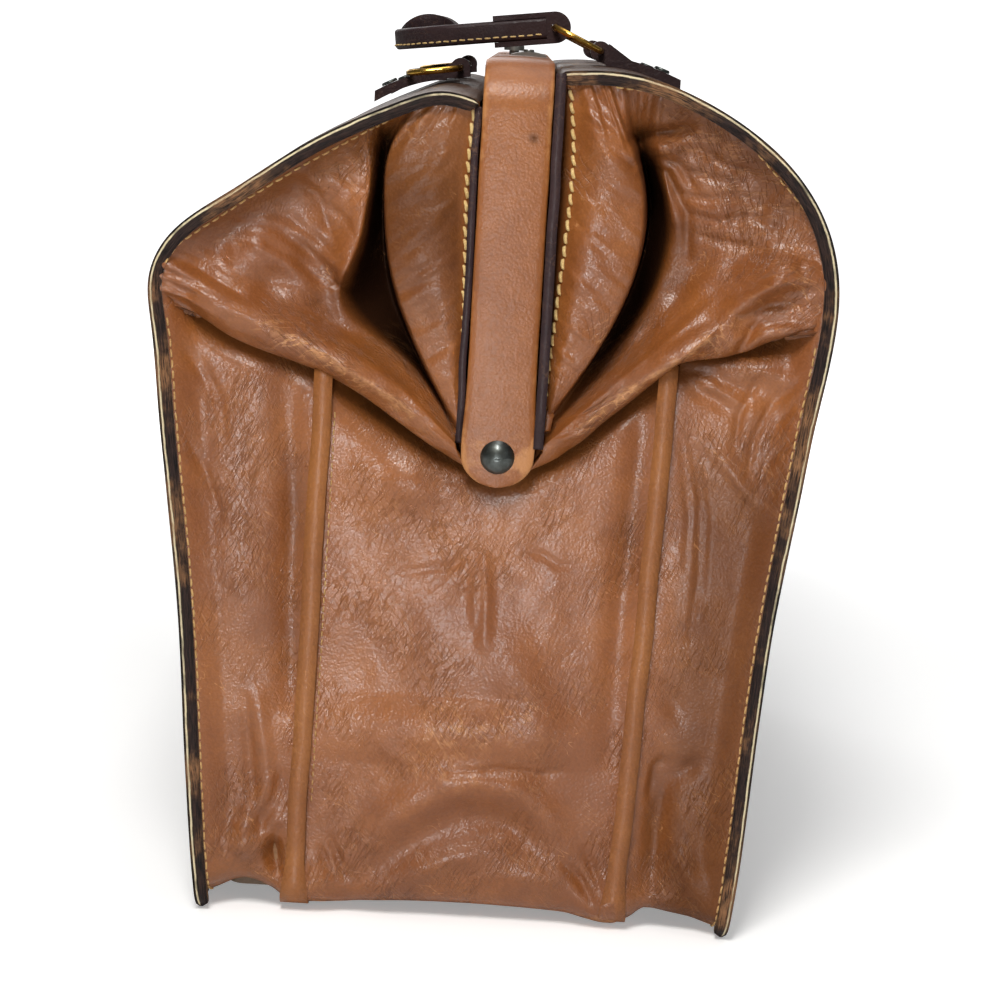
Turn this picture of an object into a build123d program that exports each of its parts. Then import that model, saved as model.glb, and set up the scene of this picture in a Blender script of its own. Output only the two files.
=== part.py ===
"""A frame-top leather briefcase, built as separate pieces.

X runs along the length, Y from the front (-) to the rear (+), Z up from the floor.
The origin lies on the floor, midway along the case and between its base edges. Sizes in mm.
"""
import os
from math import atan2, cos, degrees, hypot, radians, sin

from build123d import *

# Overall sizes
case_half_length = 210.0        # to the raw edges of the front and rear panels
frame_top = 309.0               # top of the leather strip over the closed frame
panel_leather = 3.6             # stiff leather of the panels with its backing
gusset_leather = 2.0
lining_thickness = 1.0
bottom_corner = 9.0             # nearly square lower corner of each panel

# Clearances
joined = 0.05                   # between pieces glued or sewn face to face
running = 0.05                  # radial, pin in its eye
sliding = 0.2                   # between pieces that pass each other
soft_gap = 0.3                  # soft pieces to their neighbours

# Frame hinge: one rivet at each end carries both halves of the frame
hinge_y = 5.0
hinge_z = 172.0
rivet_radius = 3.0
rivet_head_radius = 6.2
rivet_head_height = 3.4
clench_lip = 1.4                # clench wider than the shank
clench_thickness = 1.0
eye_radius = 9.0                # steel eye round the rivet at the foot of each arm
washer_radius = 7.5
washer_thickness = 1.2

# Outer lines of the lower walls, (y, z) from the floor up; the tops tuck in under the shoulders
front_wall_line = [(-93.5, 0.0), (-105.0, 100.0), (-114.0, 182.0), (-111.3, 209.0)]
rear_wall_line = [(94.5, 0.0), (105.6, 105.0), (114.4, 188.0), (111.3, 214.0)]

# Middle lines of the shoulders, which swing with the frame, from the lower lip to the frame
front_shoulder_line = [(-116.2, 206.0), (-117.5, 224.0), (-111.0, 240.6), (-91.5, 257.8),
                       (-68.2, 274.6), (-24.0, 296.6), (-7.8, 293.4)]
rear_shoulder_line = [(116.0, 212.0), (117.2, 240.0), (107.7, 266.6), (66.4, 298.2),
                      (43.0, 305.2), (17.8, 304.6)]

# Gusset and base strip, sewn to the panels by turned-out edges
edge_depth = 7.0                # outer face of the end gussets behind the raw edges
base_rise = 5.0                 # underside of the base above the floor
flange_leather = 1.6
gusset_corner = 8.0
gusset_dip = 184.0              # lowest point of the gusset's upper edge, at the rivet
gusset_edge_front = 204.0       # height of that edge at the front panel
gusset_edge_rear = 209.0

# Stay ribs sewn down each end and under the base
rib_width = 6.5
rib_proud = 5.0
front_rib_y = -57.0
rear_rib_y = 61.5
front_rib_top = 192.0
rear_rib_top = 195.0

# Steel frame halves, side by side under the strip
bar_width = 10.4
bar_gap = 1.0
bar_thickness = 2.4
bar_corner = 14.0
strip_width = 24.0
strip_thickness = 2.2
strip_below_rivet = 10.6        # from the hinge line down to the strip's round foot
web_thickness = 2.0
web_depth = 14.0
cover_leather = 1.4
binding_width = 2.8
binding_depth = 5.2
binding_foot = 184.0

# Folded upper gusset: a puffed wedge beside the arm and a roll out to the shoulder
wedge_top = 287.0
wedge_top_width = 27.0
wedge_belly_width = 24.0
wedge_belly_drop = 40.0
wedge_foot_rise = 12.0
wedge_puff = 4.5
wedge_round = 4.0
roll_radius_outer = 12.0
roll_radius_inner = 5.0
roll_proud = 7.0
front_roll_end = (-100.0, 226.0)
rear_roll_end = (100.0, 232.0)
roll_foot_rise = 14.0

# Inside
board_thickness = 3.0
board_half_width = 84.0
divider_thickness = 2.6
divider_top = 226.0
board_corner = 6.0
dip_length = 190.0              # hand dip in the divider's top edge
dip_depth = 22.0
dip_corner = 20.0
pocket_thickness = 1.2
pocket_length = 260.0
pocket_height = 150.0
pocket_middle_z = 112.0
pocket_corner = 14.0

# Rings and their leather chapes
chape_x = 68.0
chape_width = 13.5
chape_leather = 2.4
tab_leather = 1.9
ring_wire = 2.5
ring_length = 32.0              # middle of wire to middle of wire, along the case
ring_reach = 20.0               # the same across the ring
ring_corner = 8.0
front_eye = (-18.6, 303.4)
front_ring_angle = 188.5        # degrees from +Y towards +Z, at which the ring lies at rest
rear_eye = (35.6, 313.0)
rear_ring_angle = 156.0
eye_slack = 0.25
front_neck = [(-26.5, 298.8), (-14.6, 300.2), (-15.0, 304.0), (-22.5, 305.0), (-29.0, 301.4)]
rear_neck = [(39.5, 307.6), (48.0, 306.2), (48.0, 310.0), (39.0, 316.0), (34.0, 309.4)]
front_tab = (-51.5, -24.0)      # where each tab starts and ends along Y
rear_tab = (38.0, 67.5)
chape_rivet_radius = 3.2
chape_rivet_height = 1.2
chape_rivet_round = 0.7
front_rivet_y = -46.0
rear_rivet_y = 60.0

# Handle, folded forward over the frame
handle_angle = 187.6
handle_reach = 64.0
handle_leg_width = 14.0
handle_thickness = 8.2
grip_width = 27.0
grip_outer_corner = 34.0
grip_inner_corner = 13.0
handle_edge_round = 1.5
loop_leather = 2.0
loop_lap = 24.0
loop_inset = 0.4                # loop narrower than its leg, each side
pad_half_length = 46.0
pad_height = 5.0
pad_margin = 2.5

# Lock on the frame
lock_plate_half_length = 32.0
lock_plate_y = 7.7
lock_plate_width = 14.5
lock_plate_dome = 1.7
lock_plate_edge = 0.5
screw_inset = 5.0
screw_radius = 2.2
screw_height = 0.8
screw_slot = 0.7
lock_case_start = -30.0
lock_case_end = 19.0
lock_case_depth = 18.0
lock_case_round = 2.0
bolt_y = 1.6
bolt_z = 296.0
bolt_radius = 2.0
bolt_tail = -11.0
bolt_throw = 5.0
bolt_set_back = 0.5             # tip of the open bolt inside the lock case
button_radius = 4.2
button_height = 2.4
button_round = 0.9
catch_thickness = 2.0
catch_half_height = 5.0
catch_gap = 1.5                 # from the lock case along X
catch_slack = 0.3               # radial, bolt in the catch

# Past every piece, for cutting shapes
past = 1.0
past_y = 150.0
past_z = 340.0
same = 0.01                     # places nearer than this are one place

# Values worked out from those above
gusset_face = case_half_length - edge_depth
strip_foot = hinge_z - strip_below_rivet
past_x = case_half_length + past_y
ring_radius = ring_wire / 2
frame_mid_front = hinge_y - bar_gap / 2
frame_mid_rear = hinge_y + bar_gap / 2
front_bar_outer = frame_mid_front - bar_width
rear_bar_outer = frame_mid_rear + bar_width
strip_front = hinge_y - strip_width / 2
strip_rear = hinge_y + strip_width / 2
bar_top = frame_top - strip_thickness - sliding
bar_under = bar_top - bar_thickness
rear_bar_half = gusset_face + sliding + bar_thickness
front_bar_half = rear_bar_half + sliding + bar_thickness
strip_half = front_bar_half + strip_thickness


def spline_face(line, first, second):
    """Face between a curve moved by first and the same curve moved by second, along Y."""
    near = [(y + first, z) for y, z in line]
    far = [(y + second, z) for y, z in line]
    with BuildSketch(Plane.YZ) as sketch:
        with BuildLine():
            Spline(*near)
            Line(near[-1], far[-1])
            Spline(*far[::-1])
            Line(far[0], near[0])
        make_face()
    return sketch.sketch


def along_x(face, start, end):
    """Solid of a face in the YZ plane between two stations along X."""
    return Pos(start, 0, 0) * extrude(face, amount=end - start, dir=(1, 0, 0))


def along_y(face, start, end):
    """Solid of a face in the XZ plane between two stations along Y."""
    return Pos(0, start, 0) * extrude(face, amount=end - start, dir=(0, 1, 0))


def tub_face(half_length, bottom, top, corner):
    """Upright face in the XZ plane with two rounded lower corners."""
    with BuildSketch(Plane.XZ) as sketch:
        with BuildLine():
            FilletPolyline(
                (-half_length, top),
                (-half_length, bottom),
                (half_length, bottom),
                (half_length, top),
                radius=corner,
            )
            Line((half_length, top), (-half_length, top))
        make_face()
    return sketch.sketch


def arch_face(half_length, foot, top, corner):
    """Upright face in the XZ plane with two rounded upper corners."""
    with BuildSketch(Plane.XZ) as sketch:
        with BuildLine():
            FilletPolyline(
                (-half_length, foot),
                (-half_length, top),
                (half_length, top),
                (half_length, foot),
                radius=corner,
            )
            Line((half_length, foot), (-half_length, foot))
        make_face()
    return sketch.sketch


def polygon_yz(points):
    """Face in the YZ plane through the given (y, z) corners."""
    with BuildSketch(Plane.YZ) as sketch:
        with BuildLine():
            Polyline(*points, close=True)
        make_face()
    return sketch.sketch


def rod_x(radius, start, end, y, z):
    """Round bar along X."""
    return Pos((start + end) / 2, y, z) * Rot(0, 90, 0) * Cylinder(radius, end - start)


def box_between(low, high):
    """Box from its low corner to its high corner."""
    size = [b - a for a, b in zip(low, high)]
    middle = [(a + b) / 2 for a, b in zip(low, high)]
    return Pos(*middle) * Box(*size)


def both_ends(solid):
    """A solid at the +X end and its mirror image at the other end."""
    return [solid, mirror(solid, about=Plane.YZ)]


def save(name, solids):
    """Write one STEP file for a piece or for a group of like pieces."""
    solids = solids if isinstance(solids, list) else [solids]
    shape = solids[0] if len(solids) == 1 else Compound(children=solids)
    export_step(shape, os.path.join("parts", name + ".step"))


def lower_wall(line, inward):
    """Stiff lower panel: the curved wall cut to its rounded outline."""
    slab = along_x(spline_face(line, 0, inward * panel_leather), -case_half_length, case_half_length)
    outline = along_y(tub_face(case_half_length, 0, line[-1][1] + past, bottom_corner), -past_y, past_y)
    return slab & outline


def beside(line, distance):
    """Points of a line moved sideways by a distance, each square to its neighbours' chord."""
    moved = []
    for i, (y, z) in enumerate(line):
        before = line[max(i - 1, 0)]
        after = line[min(i + 1, len(line) - 1)]
        run = (after[0] - before[0], after[1] - before[1])
        size = hypot(*run)
        moved.append((y - run[1] / size * distance, z + run[0] / size * distance))
    return moved


def shoulder(line):
    """Upper part of a panel, one thick curved sheet that swings with its frame half."""
    outer = beside(line, panel_leather / 2)
    inner = beside(line, -panel_leather / 2)
    with BuildSketch(Plane.YZ) as sketch:
        with BuildLine():
            Spline(*outer)
            Line(outer[-1], inner[-1])
            Spline(*inner[::-1])
            Line(inner[0], outer[0])
        make_face()
    return along_x(sketch.sketch, -case_half_length, case_half_length)


def gusset_strip():
    """One strip down one end, along the base and up the other end, with turned-out edges."""
    front = [(y + panel_leather + joined, z) for y, z in front_wall_line]
    rear = [(y - panel_leather - joined, z) for y, z in rear_wall_line]
    with BuildSketch(Plane.YZ) as sketch:
        with BuildLine():
            Spline(*front)
            Polyline(front[-1], (hinge_y, past_z), rear[-1])
            Spline(*rear[::-1])
            Line(rear[0], front[0])
        make_face()
    between = along_x(sketch.sketch, -case_half_length, case_half_length)
    above = [
        (-past_y, gusset_edge_front),
        (front[-1][0], gusset_edge_front),
        (hinge_y, gusset_dip),
        (rear[-1][0], gusset_edge_rear),
        (past_y, gusset_edge_rear),
        (past_y, past_z),
        (-past_y, past_z),
    ]
    between -= along_x(polygon_yz(above), -past_x, past_x)
    outer = along_y(tub_face(gusset_face, base_rise, past_z, gusset_corner), -past_y, past_y)
    inner = along_y(
        tub_face(
            gusset_face - gusset_leather,
            base_rise + gusset_leather,
            past_z + past,
            gusset_corner - gusset_leather,
        ),
        -past_y - past,
        past_y + past,
    )
    rim = along_y(tub_face(case_half_length, 0, past_z, bottom_corner), -past_y, past_y)
    web = between & (outer - inner)
    for hole in both_ends(rod_x(rivet_radius, gusset_face - gusset_leather - past, gusset_face + past,
                                hinge_y, hinge_z)):
        web -= hole
    turned = Part() + [
        along_x(spline_face(front_wall_line, panel_leather + joined,
                            panel_leather + joined + flange_leather), -past_x, past_x),
        along_x(spline_face(rear_wall_line, -panel_leather - joined,
                            -panel_leather - joined - flange_leather), -past_x, past_x),
    ]
    flanges = turned & between & (rim - outer)
    return web + flanges


def stay_rib(y, top):
    """Covered rib down both ends and under the base."""
    outer = tub_face(gusset_face + rib_proud, 0, top, gusset_corner + rib_proud)
    inner = tub_face(gusset_face + joined, base_rise - joined, top + past, gusset_corner + joined)
    rib = along_y(outer - inner, y - rib_width / 2, y + rib_width / 2)
    return rib


def steel_half(half_length, outer_y, inner_y, foot_side, slot):
    """Steel half frame: top bar with two arms, an eye at each foot and a stiffening web."""
    band = arch_face(half_length, hinge_z, bar_top, bar_corner)
    band -= arch_face(half_length - bar_thickness, hinge_z - past, bar_under, bar_corner - bar_thickness)
    half = along_y(band, min(outer_y, inner_y), max(outer_y, inner_y))
    for side in (-1, 1):
        near = side * (half_length - bar_thickness)
        far = side * half_length
        half += rod_x(eye_radius, min(near, far), max(near, far), hinge_y, hinge_z)
        half -= rod_x(rivet_radius + running, min(near, far) - past, max(near, far) + past, hinge_y, hinge_z)
    web_half = gusset_face - gusset_leather - bar_corner
    half += box_between(
        (-web_half, min(outer_y, outer_y + foot_side * web_thickness), bar_under - web_depth),
        (web_half, max(outer_y, outer_y + foot_side * web_thickness), bar_under),
    )
    if slot:
        half -= bolt_slot(bar_under - past, bar_top + past)
    return half


def bolt_slot(low, high):
    """Slot in which the stem of the lock bolt travels."""
    reach = bolt_radius + sliding
    stem = box_between((0, bolt_y - reach, low), (bolt_throw, bolt_y + reach, high))
    for x in (0, bolt_throw):
        stem += Pos(x, bolt_y, (low + high) / 2) * Cylinder(reach, high - low)
    return stem


def cover_strip():
    """Leather strip up one end, over the closed frame and down the other end."""
    band = arch_face(strip_half, strip_foot, frame_top, bar_corner + strip_thickness)
    band -= arch_face(front_bar_half, strip_foot - past, bar_top + sliding, bar_corner)
    strip = along_y(band, strip_front, strip_rear)
    round_end = strip_width / 2
    inside, outside = front_bar_half - past, strip_half + past
    corner_block = box_between(
        (inside, strip_front - past, strip_foot - past),
        (outside, strip_rear + past, strip_foot + round_end),
    )
    corner_block -= rod_x(round_end, inside - past, outside + past, hinge_y, strip_foot + round_end)
    eye = rod_x(rivet_radius + running, inside, outside, hinge_y, hinge_z)
    for cut in both_ends(corner_block) + both_ends(eye):
        strip -= cut
    strip -= bolt_slot(bar_top - past, frame_top + past)
    return strip


def bar_cover(outer_y, away, foot):
    """Leather over the outer side of a frame bar, above the end of the shoulder."""
    half = gusset_face - gusset_leather - bar_corner
    low = (-half, min(outer_y, outer_y + away * cover_leather), foot)
    high = (half, max(outer_y, outer_y + away * cover_leather), bar_top)
    return box_between(low, high)


def binding(y_near_frame, away):
    """Dark edge binding where the folded gusset is sewn to the frame."""
    inner_half = rear_bar_half - bar_thickness
    band = arch_face(inner_half + binding_depth, binding_foot, bar_top, bar_corner)
    band -= arch_face(inner_half, binding_foot - past, bar_under, bar_corner - bar_thickness)
    low = min(y_near_frame, y_near_frame + away * binding_width)
    high = max(y_near_frame, y_near_frame + away * binding_width)
    strip = along_y(band, low, high)
    keep = box_between((-past_x, low - past, binding_foot - past), (past_x, high + past, wedge_top))
    return [piece for piece in (strip & keep).solids()]


def gusset_edge_at(y):
    """Height of the lower gusset's upper edge, two straight runs that meet at the rivet."""
    wall = front_wall_line[-1] if y < hinge_y else rear_wall_line[-1]
    high = gusset_edge_front if y < hinge_y else gusset_edge_rear
    share = (y - hinge_y) / (wall[0] - hinge_y)
    return gusset_dip + share * (high - gusset_dip)


def gusset_fold(away, roll_end, arm_edge):
    """Upper gusset folded between the frame and the shoulder: a puffed wedge and a thick roll."""
    plane_in = gusset_face - gusset_leather
    lift = 3 * soft_gap
    line = front_shoulder_line if away < 0 else rear_shoulder_line
    wall = front_wall_line[-1] if away < 0 else rear_wall_line[-1]
    inside_wall = wall[0] - away * (panel_leather + lift)
    under = beside(line, away * (panel_leather / 2 + soft_gap))[1:]
    with BuildSketch(Plane.YZ) as section:
        with BuildLine():
            Polyline(
                (arm_edge, under[-1][1]),
                (arm_edge, gusset_edge_at(arm_edge) + lift),
                (inside_wall, gusset_edge_at(inside_wall) + lift),
                (inside_wall, wall[1] + lift),
                under[0],
            )
            Spline(*under)
            Line(under[-1], (arm_edge, under[-1][1]))
        make_face()
    sheet_face = section.sketch
    sheet = along_x(sheet_face, plane_in, gusset_face)
    wedge_points = [
        (arm_edge, gusset_dip + wedge_foot_rise),
        (arm_edge, wedge_top),
        (arm_edge + away * wedge_top_width, wedge_top - soft_gap),
        (arm_edge + away * wedge_belly_width, wedge_top - wedge_belly_drop),
    ]
    wedge = along_x(polygon_yz(wedge_points), gusset_face, gusset_face + wedge_puff)
    wedge = fillet(wedge.faces().sort_by(Axis.X)[-1].edges(), wedge_round)
    start = Vector(gusset_face, *roll_end)
    end = Vector(gusset_face, arm_edge + away * (roll_radius_inner + past), hinge_z + roll_foot_rise)
    run = end - start
    roll = Plane(origin=start, z_dir=run) * Pos(0, 0, run.length / 2) * Cone(
        roll_radius_outer, roll_radius_inner, run.length
    )
    outside = box_between((gusset_face + soft_gap, -past_y, 0), (gusset_face + roll_proud, past_y, past_z))
    above_edge = along_x(sheet_face, plane_in, gusset_face + soft_gap)
    roll = (roll & outside) + (roll & above_edge)
    fold = sheet + wedge + roll
    return both_ends(fold)


def lining(line, inward):
    """Thin lining against the inside of a panel."""
    first = inward * (panel_leather + joined)
    second = inward * (panel_leather + joined + lining_thickness)
    half = gusset_face - gusset_leather - soft_gap
    sheet = along_x(spline_face(line, first, second), -past_x, past_x)
    keep = along_y(tub_face(half, base_rise + gusset_leather + soft_gap, past_z,
                            gusset_corner - gusset_leather), -past_y, past_y)
    return sheet & keep


def base_board():
    half = gusset_face - gusset_corner
    low = base_rise + gusset_leather + joined
    board = box_between((-half, -board_half_width, low), (half, board_half_width, low + board_thickness))
    return fillet(board.edges().filter_by(Axis.Z), board_corner)


def divider():
    """Upright leather wall between the two compartments, with a dip for the hand."""
    half = gusset_face - gusset_leather - washer_thickness - clench_thickness - 4 * soft_gap
    low = base_rise + gusset_leather + board_thickness + 2 * joined
    face = tub_face(half, low, divider_top, gusset_corner - gusset_leather)
    with BuildSketch(Plane.XZ) as dip:
        with Locations((0, divider_top)):
            RectangleRounded(dip_length, 2 * dip_depth, dip_corner)
    wall = along_y(face - dip.sketch, hinge_y - divider_thickness / 2, hinge_y + divider_thickness / 2)
    return wall


def divider_pocket():
    near = hinge_y + divider_thickness / 2 + joined
    with BuildSketch(Plane.XZ) as face:
        with Locations((0, pocket_middle_z)):
            RectangleRounded(pocket_length, pocket_height, pocket_corner)
    return along_y(face.sketch, near, near + pocket_thickness)


def frame_rivet():
    """Rivet with a domed head outside and a flat clench inside, turned about its own axis."""
    inner = gusset_face - gusset_leather - washer_thickness - clench_thickness
    under_head = strip_half + sliding
    clench_radius = rivet_radius + clench_lip
    dome_radius = (rivet_head_radius ** 2 + rivet_head_height ** 2) / (2 * rivet_head_height)
    dome_centre = under_head + rivet_head_height - dome_radius
    half_angle = atan2(rivet_head_radius, under_head - dome_centre) / 2
    with BuildSketch(Plane.XY) as half:
        with BuildLine():
            Polyline(
                (inner, 0),
                (inner, clench_radius),
                (inner + clench_thickness, clench_radius),
                (inner + clench_thickness, rivet_radius),
                (under_head, rivet_radius),
                (under_head, rivet_head_radius),
            )
            ThreePointArc(
                (under_head, rivet_head_radius),
                (dome_centre + dome_radius * cos(half_angle), dome_radius * sin(half_angle)),
                (under_head + rivet_head_height, 0),
            )
            Line((under_head + rivet_head_height, 0), (inner, 0))
        make_face()
    return Pos(0, hinge_y, hinge_z) * revolve(half.sketch, axis=Axis.X)


def rivet_washer():
    inner = gusset_face - gusset_leather - washer_thickness
    washer = rod_x(washer_radius, inner, inner + washer_thickness, hinge_y, hinge_z)
    return washer - rod_x(rivet_radius, inner - past, inner + washer_thickness + past, hinge_y, hinge_z)


def ring(x, eye, angle):
    """Brass ring with long straight sides, lying at the given angle from its eye."""
    across = Vector(0, cos(radians(angle)), sin(radians(angle)))
    plane = Plane(origin=(x, eye[0], eye[1]), x_dir=(1, 0, 0), z_dir=Vector(1, 0, 0).cross(across))
    with BuildLine(plane) as path:
        FilletPolyline(
            (ring_length / 2, 0),
            (ring_length / 2, ring_reach),
            (-ring_length / 2, ring_reach),
            (-ring_length / 2, 0),
            radius=ring_corner,
            close=True,
        )
    loop = path.wires()[0]
    with BuildSketch(Plane(origin=loop @ 0, z_dir=loop % 0)) as wire:
        Circle(ring_radius)
    return sweep(wire.sketch, path=loop)


def chape(x, eye, line, reach, neck):
    """Leather tab folded round the ring: an eye, a neck, and two layers down the shoulder."""
    outer = ring_radius + eye_slack + chape_leather
    low, high = x - chape_width / 2, x + chape_width / 2
    out = 1 if eye[0] < hinge_y else -1
    under = beside(line, out * (panel_leather / 2 + joined))
    over = beside(line, out * (panel_leather / 2 + joined + 2 * tab_leather))
    with BuildSketch(Plane.YZ) as section:
        with BuildLine():
            Spline(*under)
            Line(under[-1], over[-1])
            Spline(*over[::-1])
            Line(over[0], under[0])
        make_face()
    tab = along_x(section.sketch, low, high)
    tab &= box_between((low, reach[0], 0), (high, reach[1], past_z))
    tab += along_x(polygon_yz(neck), low, high)
    tab += rod_x(outer, low, high, *eye)
    tab -= rod_x(ring_radius + eye_slack, low - past, high + past, *eye)
    return tab


def chape_rivet(x, line, y):
    """Domed rivet seated on a chape, square to the shoulder under it."""
    out = 1 if y < hinge_y else -1
    surface = Spline(*beside(line, out * (panel_leather / 2 + 2 * joined + 2 * tab_leather)))
    low, high = 0.0, 1.0
    rising = (surface @ 1).X > (surface @ 0).X
    for _ in range(30):
        middle = (low + high) / 2
        if ((surface @ middle).X < y) == rising:
            low = middle
        else:
            high = middle
    spot = surface @ low
    slope = surface % low
    tilt = degrees(atan2(slope.Y, slope.X)) if out > 0 else degrees(atan2(-slope.Y, -slope.X))
    dome = Cylinder(chape_rivet_radius, chape_rivet_height, align=(Align.CENTER, Align.CENTER, Align.MIN))
    dome = fillet(dome.edges().sort_by(Axis.Z)[-1], chape_rivet_round)
    return Pos(x, spot.X, spot.Y) * Rot(tilt, 0, 0) * dome


def handle_pose(solid):
    """From the handle's own frame, its ring axis at the origin, to its place on the rings."""
    pin_y = rear_eye[0] + ring_reach * cos(radians(rear_ring_angle))
    pin_z = rear_eye[1] + ring_reach * sin(radians(rear_ring_angle))
    return Pos(0, pin_y, pin_z) * Rot(handle_angle - 180, 0, 0) * solid


def handle_strap():
    """Laminated arch: two legs and a broad grip, one flat stack of leather."""
    outer_x = chape_x + handle_leg_width / 2
    inner_x = chape_x - handle_leg_width / 2
    leg_start = -(ring_radius + eye_slack + loop_leather)
    with BuildSketch(Plane.XY) as plan:
        with BuildLine():
            Polyline(
                (outer_x, leg_start),
                (outer_x, -handle_reach),
                (-outer_x, -handle_reach),
                (-outer_x, leg_start),
                (-inner_x, leg_start),
                (-inner_x, grip_width - handle_reach),
                (inner_x, grip_width - handle_reach),
                (inner_x, leg_start),
                close=True,
            )
        make_face()
        low = plan.vertices().group_by(Axis.Y)[0]
        fillet(low, grip_outer_corner)
        inside = [v for v in plan.vertices() if abs(v.Y - (grip_width - handle_reach)) < same]
        fillet(inside, grip_inner_corner)
    arch = Pos(0, 0, -handle_thickness / 2) * extrude(plan.sketch, amount=handle_thickness)
    rounded = [e for e in arch.edges().filter_by(GeomType.LINE) if abs(e.center().Y + handle_reach) < same]
    return fillet(rounded, handle_edge_round)


def handle_pad():
    """Raised pad under the palm, domed across and rounded in plan."""
    top = handle_thickness / 2 + joined
    middle = grip_width / 2 - handle_reach
    half = grip_width / 2 - pad_margin
    with BuildSketch(Plane.YZ) as section:
        with BuildLine():
            ThreePointArc((middle - half, top), (middle, top + pad_height), (middle + half, top))
            Line((middle + half, top), (middle - half, top))
        make_face()
    pad = along_x(section.sketch, -pad_half_length, pad_half_length)
    with BuildSketch(Plane.XY) as plan:
        with Locations((0, middle)):
            SlotOverall(2 * pad_half_length, 2 * half)
    return pad & extrude(plan.sketch, amount=top + pad_height + past)


def handle_loop(x):
    """Strap folded round the ring and lapped over both faces of a leg."""
    hole = ring_radius + eye_slack
    outer = handle_thickness / 2 + joined + loop_leather
    half = handle_leg_width / 2 - loop_inset
    low, high = x - half, x + half
    loop = rod_x(outer, low, high, 0, 0)
    loop += box_between((low, -loop_lap, -outer), (high, 0, outer))
    core_start = -(hole + loop_leather) + joined
    loop -= box_between((low - past, -loop_lap - past, -handle_thickness / 2 - joined),
                        (high + past, core_start, handle_thickness / 2 + joined))
    loop -= rod_x(hole, low - past, high + past, 0, 0)
    return loop


def lock_plate():
    """Domed plate on the strip, pierced for the stem of the bolt."""
    low, high = lock_plate_y - lock_plate_width / 2, lock_plate_y + lock_plate_width / 2
    base = frame_top + joined
    edge = base + lock_plate_edge
    with BuildSketch(Plane.YZ) as section:
        with BuildLine():
            ThreePointArc((low, edge), (lock_plate_y, base + lock_plate_dome), (high, edge))
            Polyline((high, edge), (high, base), (low, base), (low, edge))
        make_face()
    plate = along_x(section.sketch, -lock_plate_half_length, lock_plate_half_length)
    plate -= bolt_slot(frame_top - past, base + lock_plate_dome + past)
    return plate


def lock_screws():
    """Small screws at the ends of the lock plate."""
    seat = frame_top + joined + lock_plate_dome
    reach = lock_plate_half_length - screw_inset
    head = Pos(reach, lock_plate_y, seat) * Cylinder(
        screw_radius, screw_height, align=(Align.CENTER, Align.CENTER, Align.MIN)
    )
    head -= Pos(reach, lock_plate_y, seat + screw_height) * Box(2 * screw_radius + past, screw_slot, screw_slot)
    return both_ends(head)


def lock_case():
    """Box under the front bar that guides the bolt."""
    low = (lock_case_start, front_bar_outer + web_thickness + joined, bar_under - lock_case_depth)
    high = (lock_case_end, frame_mid_front - sliding, bar_under - joined)
    case = box_between(low, high)
    case = fillet(case.edges().filter_by(Axis.Y), lock_case_round)
    bore = bolt_radius + running
    case -= rod_x(bore, bolt_tail - past, lock_case_end + past, bolt_y, bolt_z)
    case -= bolt_slot(bolt_z, bar_under + past)
    return case


def lock_bolt():
    """Bolt, stem and thumb button in one sliding piece."""
    bolt = rod_x(bolt_radius, bolt_tail, lock_case_end - bolt_set_back, bolt_y, bolt_z)
    seat = frame_top + joined + lock_plate_dome + sliding
    upright = (Align.CENTER, Align.CENTER, Align.MIN)
    stem = Pos(0, bolt_y, bolt_z) * Cylinder(bolt_radius, seat + button_height / 2 - bolt_z, align=upright)
    button = Pos(0, bolt_y, seat) * Cylinder(button_radius, button_height, align=upright)
    button = fillet(button.edges().sort_by(Axis.Z)[-1], button_round)
    return bolt + stem + button


def lock_catch():
    """Eye plate hung from the rear bar, which the bolt enters."""
    near, far = lock_case_end + catch_gap, lock_case_end + catch_gap + catch_thickness
    low, high = bolt_z - catch_half_height, bolt_z + catch_half_height
    web_face = rear_bar_outer - web_thickness - joined
    plate = box_between((near, bolt_y - catch_half_height, low), (far, web_face, high))
    plate += box_between((near, frame_mid_rear + 2 * sliding, low), (far, web_face, bar_under - joined))
    plate -= rod_x(bolt_radius + catch_slack, near - past, far + past, bolt_y, bolt_z)
    return plate


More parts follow.
